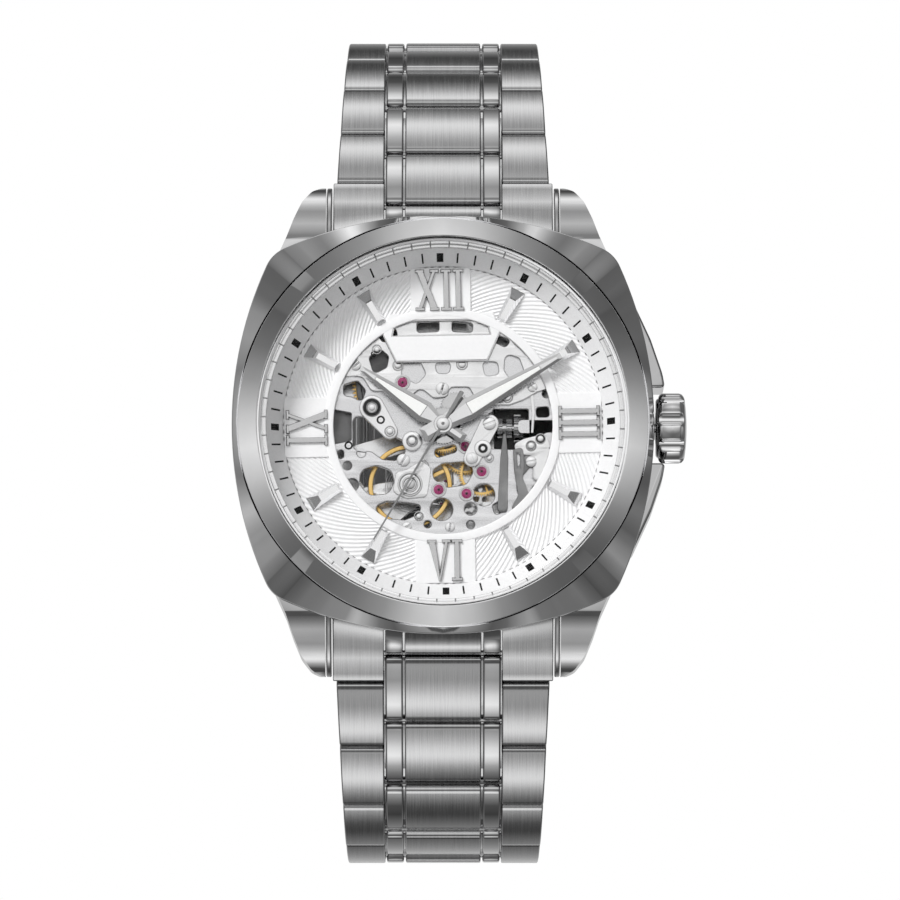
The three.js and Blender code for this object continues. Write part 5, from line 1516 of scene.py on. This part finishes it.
def studio():
    """A plain pale floor, a soft surround and one soft key light."""
    mesh = bpy.data.meshes.new("floor")
    work = bmesh.new()
    bmesh.ops.create_grid(work, x_segments=8, y_segments=8, size=3.0)
    work.to_mesh(mesh)
    work.free()
    floor = bpy.data.objects.new("floor", mesh)
    floor.location.z = -0.3
    floor.visible_glossy = False
    mesh.materials.append(painted("floor_pale", None, grey(0.80), grey(0.82), 0.6, 6).material)
    bpy.context.scene.collection.objects.link(floor)

    lamp = bpy.data.lights.new("key", "AREA")
    lamp.shape, lamp.size, lamp.energy = "SQUARE", 0.2, 6.0
    key = bpy.data.objects.new("key", lamp)
    key.location = (-0.42, -0.45, 0.46)
    key.visible_glossy = False
    key.rotation_mode = "QUATERNION"
    key.rotation_quaternion = Vector(key.location).to_track_quat("Z", "Y")
    key.visible_camera = False
    bpy.context.scene.collection.objects.link(key)


# Brightness of the surround by degrees away from the line of sight: straight above, below and
# beside the watch, and towards its corners.
OFF_AXIS = [(0, 1.15), (14, 1.1), (24, 0.6), (40, 0.3), (54, 0.34), (59, 0.8), (62, 1.05), (67, 0.85),
            (74, 0.7), (81, 1.1), (88, 1.7), (95, 2.0), (100, 1.5), (105, 0.85), (112, 0.42), (119, 0.16),
            (130, 0.1), (145, 0.35), (165, 0.7), (180, 0.9)]
CORNERS = [(0, 1.15), (20, 0.9), (32, 0.5), (46, 0.34), (54, 0.11), (68, 0.1), (80, 0.24), (100, 0.28),
           (125, 0.2), (145, 0.4), (180, 0.9)]
# Share of the first of those, by share of the turn from vertical to sideways: in front and behind.
AROUND = [(0.0, 1.0), (0.11, 0.76), (0.22, 0.34), (0.33, 0.16), (0.45, 0.07), (0.545, 0.06), (0.555, 0.02),
          (0.67, 0.1), (0.78, 0.32), (0.89, 0.7), (1.0, 1.0)]
AROUND_BEHIND = [(0.0, 1.0), (0.12, 0.9), (0.25, 0.0), (0.8, 0.0), (0.92, 0.15), (1.0, 0.3)]
BEHIND = [(68, 0.0), (80, 1.0)]  # where the second of those takes over
# How much brighter the surround is towards the top, and how much darker towards 3 o'clock.
SLANT_FRONT = [(0, 0.0), (12, 1.3), (32, 1.3), (40, 0.8), (52, 0.6), (60, 0.15), (70, 0.0)]
SLANT_SIDE = [(62, 0.0), (80, 0.5), (120, 0.5), (150, 0.0)]


def surround():
    """Light around the watch: soft boxes in front and at its four sides, darker towards the
    corners and behind. What the camera sees directly is plain white."""
    world_ = bpy.data.worlds.new("studio")
    world_.use_nodes = True
    bpy.context.scene.world = world_
    tree = world_.node_tree
    tree.nodes.clear()

    def node(kind, **values):
        made = tree.nodes.new(kind)
        for name, value in values.items():
            setattr(made, name, value)
        return made

    def maths(how, *values):
        made = node("ShaderNodeMath", operation=how)
        for socket, value in zip(made.inputs, values):
            if hasattr(value, "is_output"):
                tree.links.new(value, socket)
            else:
                socket.default_value = value
        return made.outputs[0]

    def ramp(value, stops):
        made = node("ShaderNodeValToRGB")
        elements = made.color_ramp.elements
        while len(elements) < len(stops):
            elements.new(0.5)
        for element, (position, level) in zip(elements, stops):
            element.position = position
            element.color = (level, level, level, 1)
        tree.links.new(value, made.inputs["Fac"])
        return made.outputs["Color"]

    split = node("ShaderNodeSeparateXYZ")
    tree.links.new(node("ShaderNodeTexCoord").outputs["Generated"], split.inputs[0])
    x, y, z = split.outputs
    sight = maths("SUBTRACT", maths("MULTIPLY", z, math.sin(BELOW)), maths("MULTIPLY", y, math.cos(BELOW)))
    off_axis = maths("MULTIPLY", maths("ARCCOSINE", sight), 1 / math.pi)
    sideways = maths("ARCTAN2", maths("ABSOLUTE", x), maths("ADD", maths("ABSOLUTE", z), 1e-5))
    turn = maths("MULTIPLY", sideways, 2 / math.pi)

    def by_angle(stops):
        return ramp(off_axis, [(angle / 180, level / 2) for angle, level in stops])

    def blend(share, a, b):
        return maths("ADD", maths("MULTIPLY", a, maths("SUBTRACT", 1.0, share)), maths("MULTIPLY", b, share))

    behind = maths("MULTIPLY", by_angle(BEHIND), 2.0)
    boxes = blend(behind, ramp(turn, AROUND), ramp(turn, AROUND_BEHIND))
    lit = maths("MULTIPLY", blend(boxes, by_angle(CORNERS), by_angle(OFF_AXIS)), 2.0)
    slant = maths("MULTIPLY", by_angle(SLANT_FRONT), maths("SUBTRACT", z, maths("MULTIPLY", x, 0.2)))
    slant = maths("SUBTRACT", slant, maths("MULTIPLY", by_angle(SLANT_SIDE), x))
    level = maths("MULTIPLY", lit, maths("MAXIMUM", maths("MULTIPLY_ADD", slant, 2.0, 1.0), 0.05))
    light = node("ShaderNodeBackground")
    tree.links.new(level, light.inputs["Strength"])
    white = node("ShaderNodeBackground")
    white.inputs["Color"].default_value = (1, 1, 1, 1)
    mix = node("ShaderNodeMixShader")
    tree.links.new(node("ShaderNodeLightPath").outputs["Is Camera Ray"], mix.inputs[0])
    tree.links.new(light.outputs[0], mix.inputs[1])
    tree.links.new(white.outputs[0], mix.inputs[2])
    tree.links.new(mix.outputs[0], node("ShaderNodeOutputWorld").inputs["Surface"])


def camera():
    """A long lens a little below the centre of the dial, looking slightly up."""
    distance, view = 0.9, 0.0894
    centre = Vector(world(0.695, -2.63 * math.cos(BELOW), 9.5 - 2.63 * math.sin(BELOW)))
    towards = Vector((0, math.cos(BELOW), math.sin(BELOW)))
    data = bpy.data.cameras.new("camera")
    data.sensor_width = 36
    data.lens = 36 * distance / view
    data.clip_start, data.clip_end = 0.05, 20
    obj = bpy.data.objects.new("camera", data)
    obj.location = centre - towards * distance
    obj.rotation_mode = "QUATERNION"
    obj.rotation_quaternion = towards.to_track_quat("-Z", "Y")
    bpy.context.scene.collection.objects.link(obj)
    bpy.context.scene.camera = obj
    bpy.context.scene.view_settings.view_transform = "Standard"


make_case()
make_end_links()
make_links()
make_clasp()
make_crown()
make_dial()
make_hands()
make_dial_side()
make_train()
make_balance()
make_pallet_fork()
make_hand_works()
make_setting_works()
make_back_side()
make_rotor()
studio()
surround()
camera()
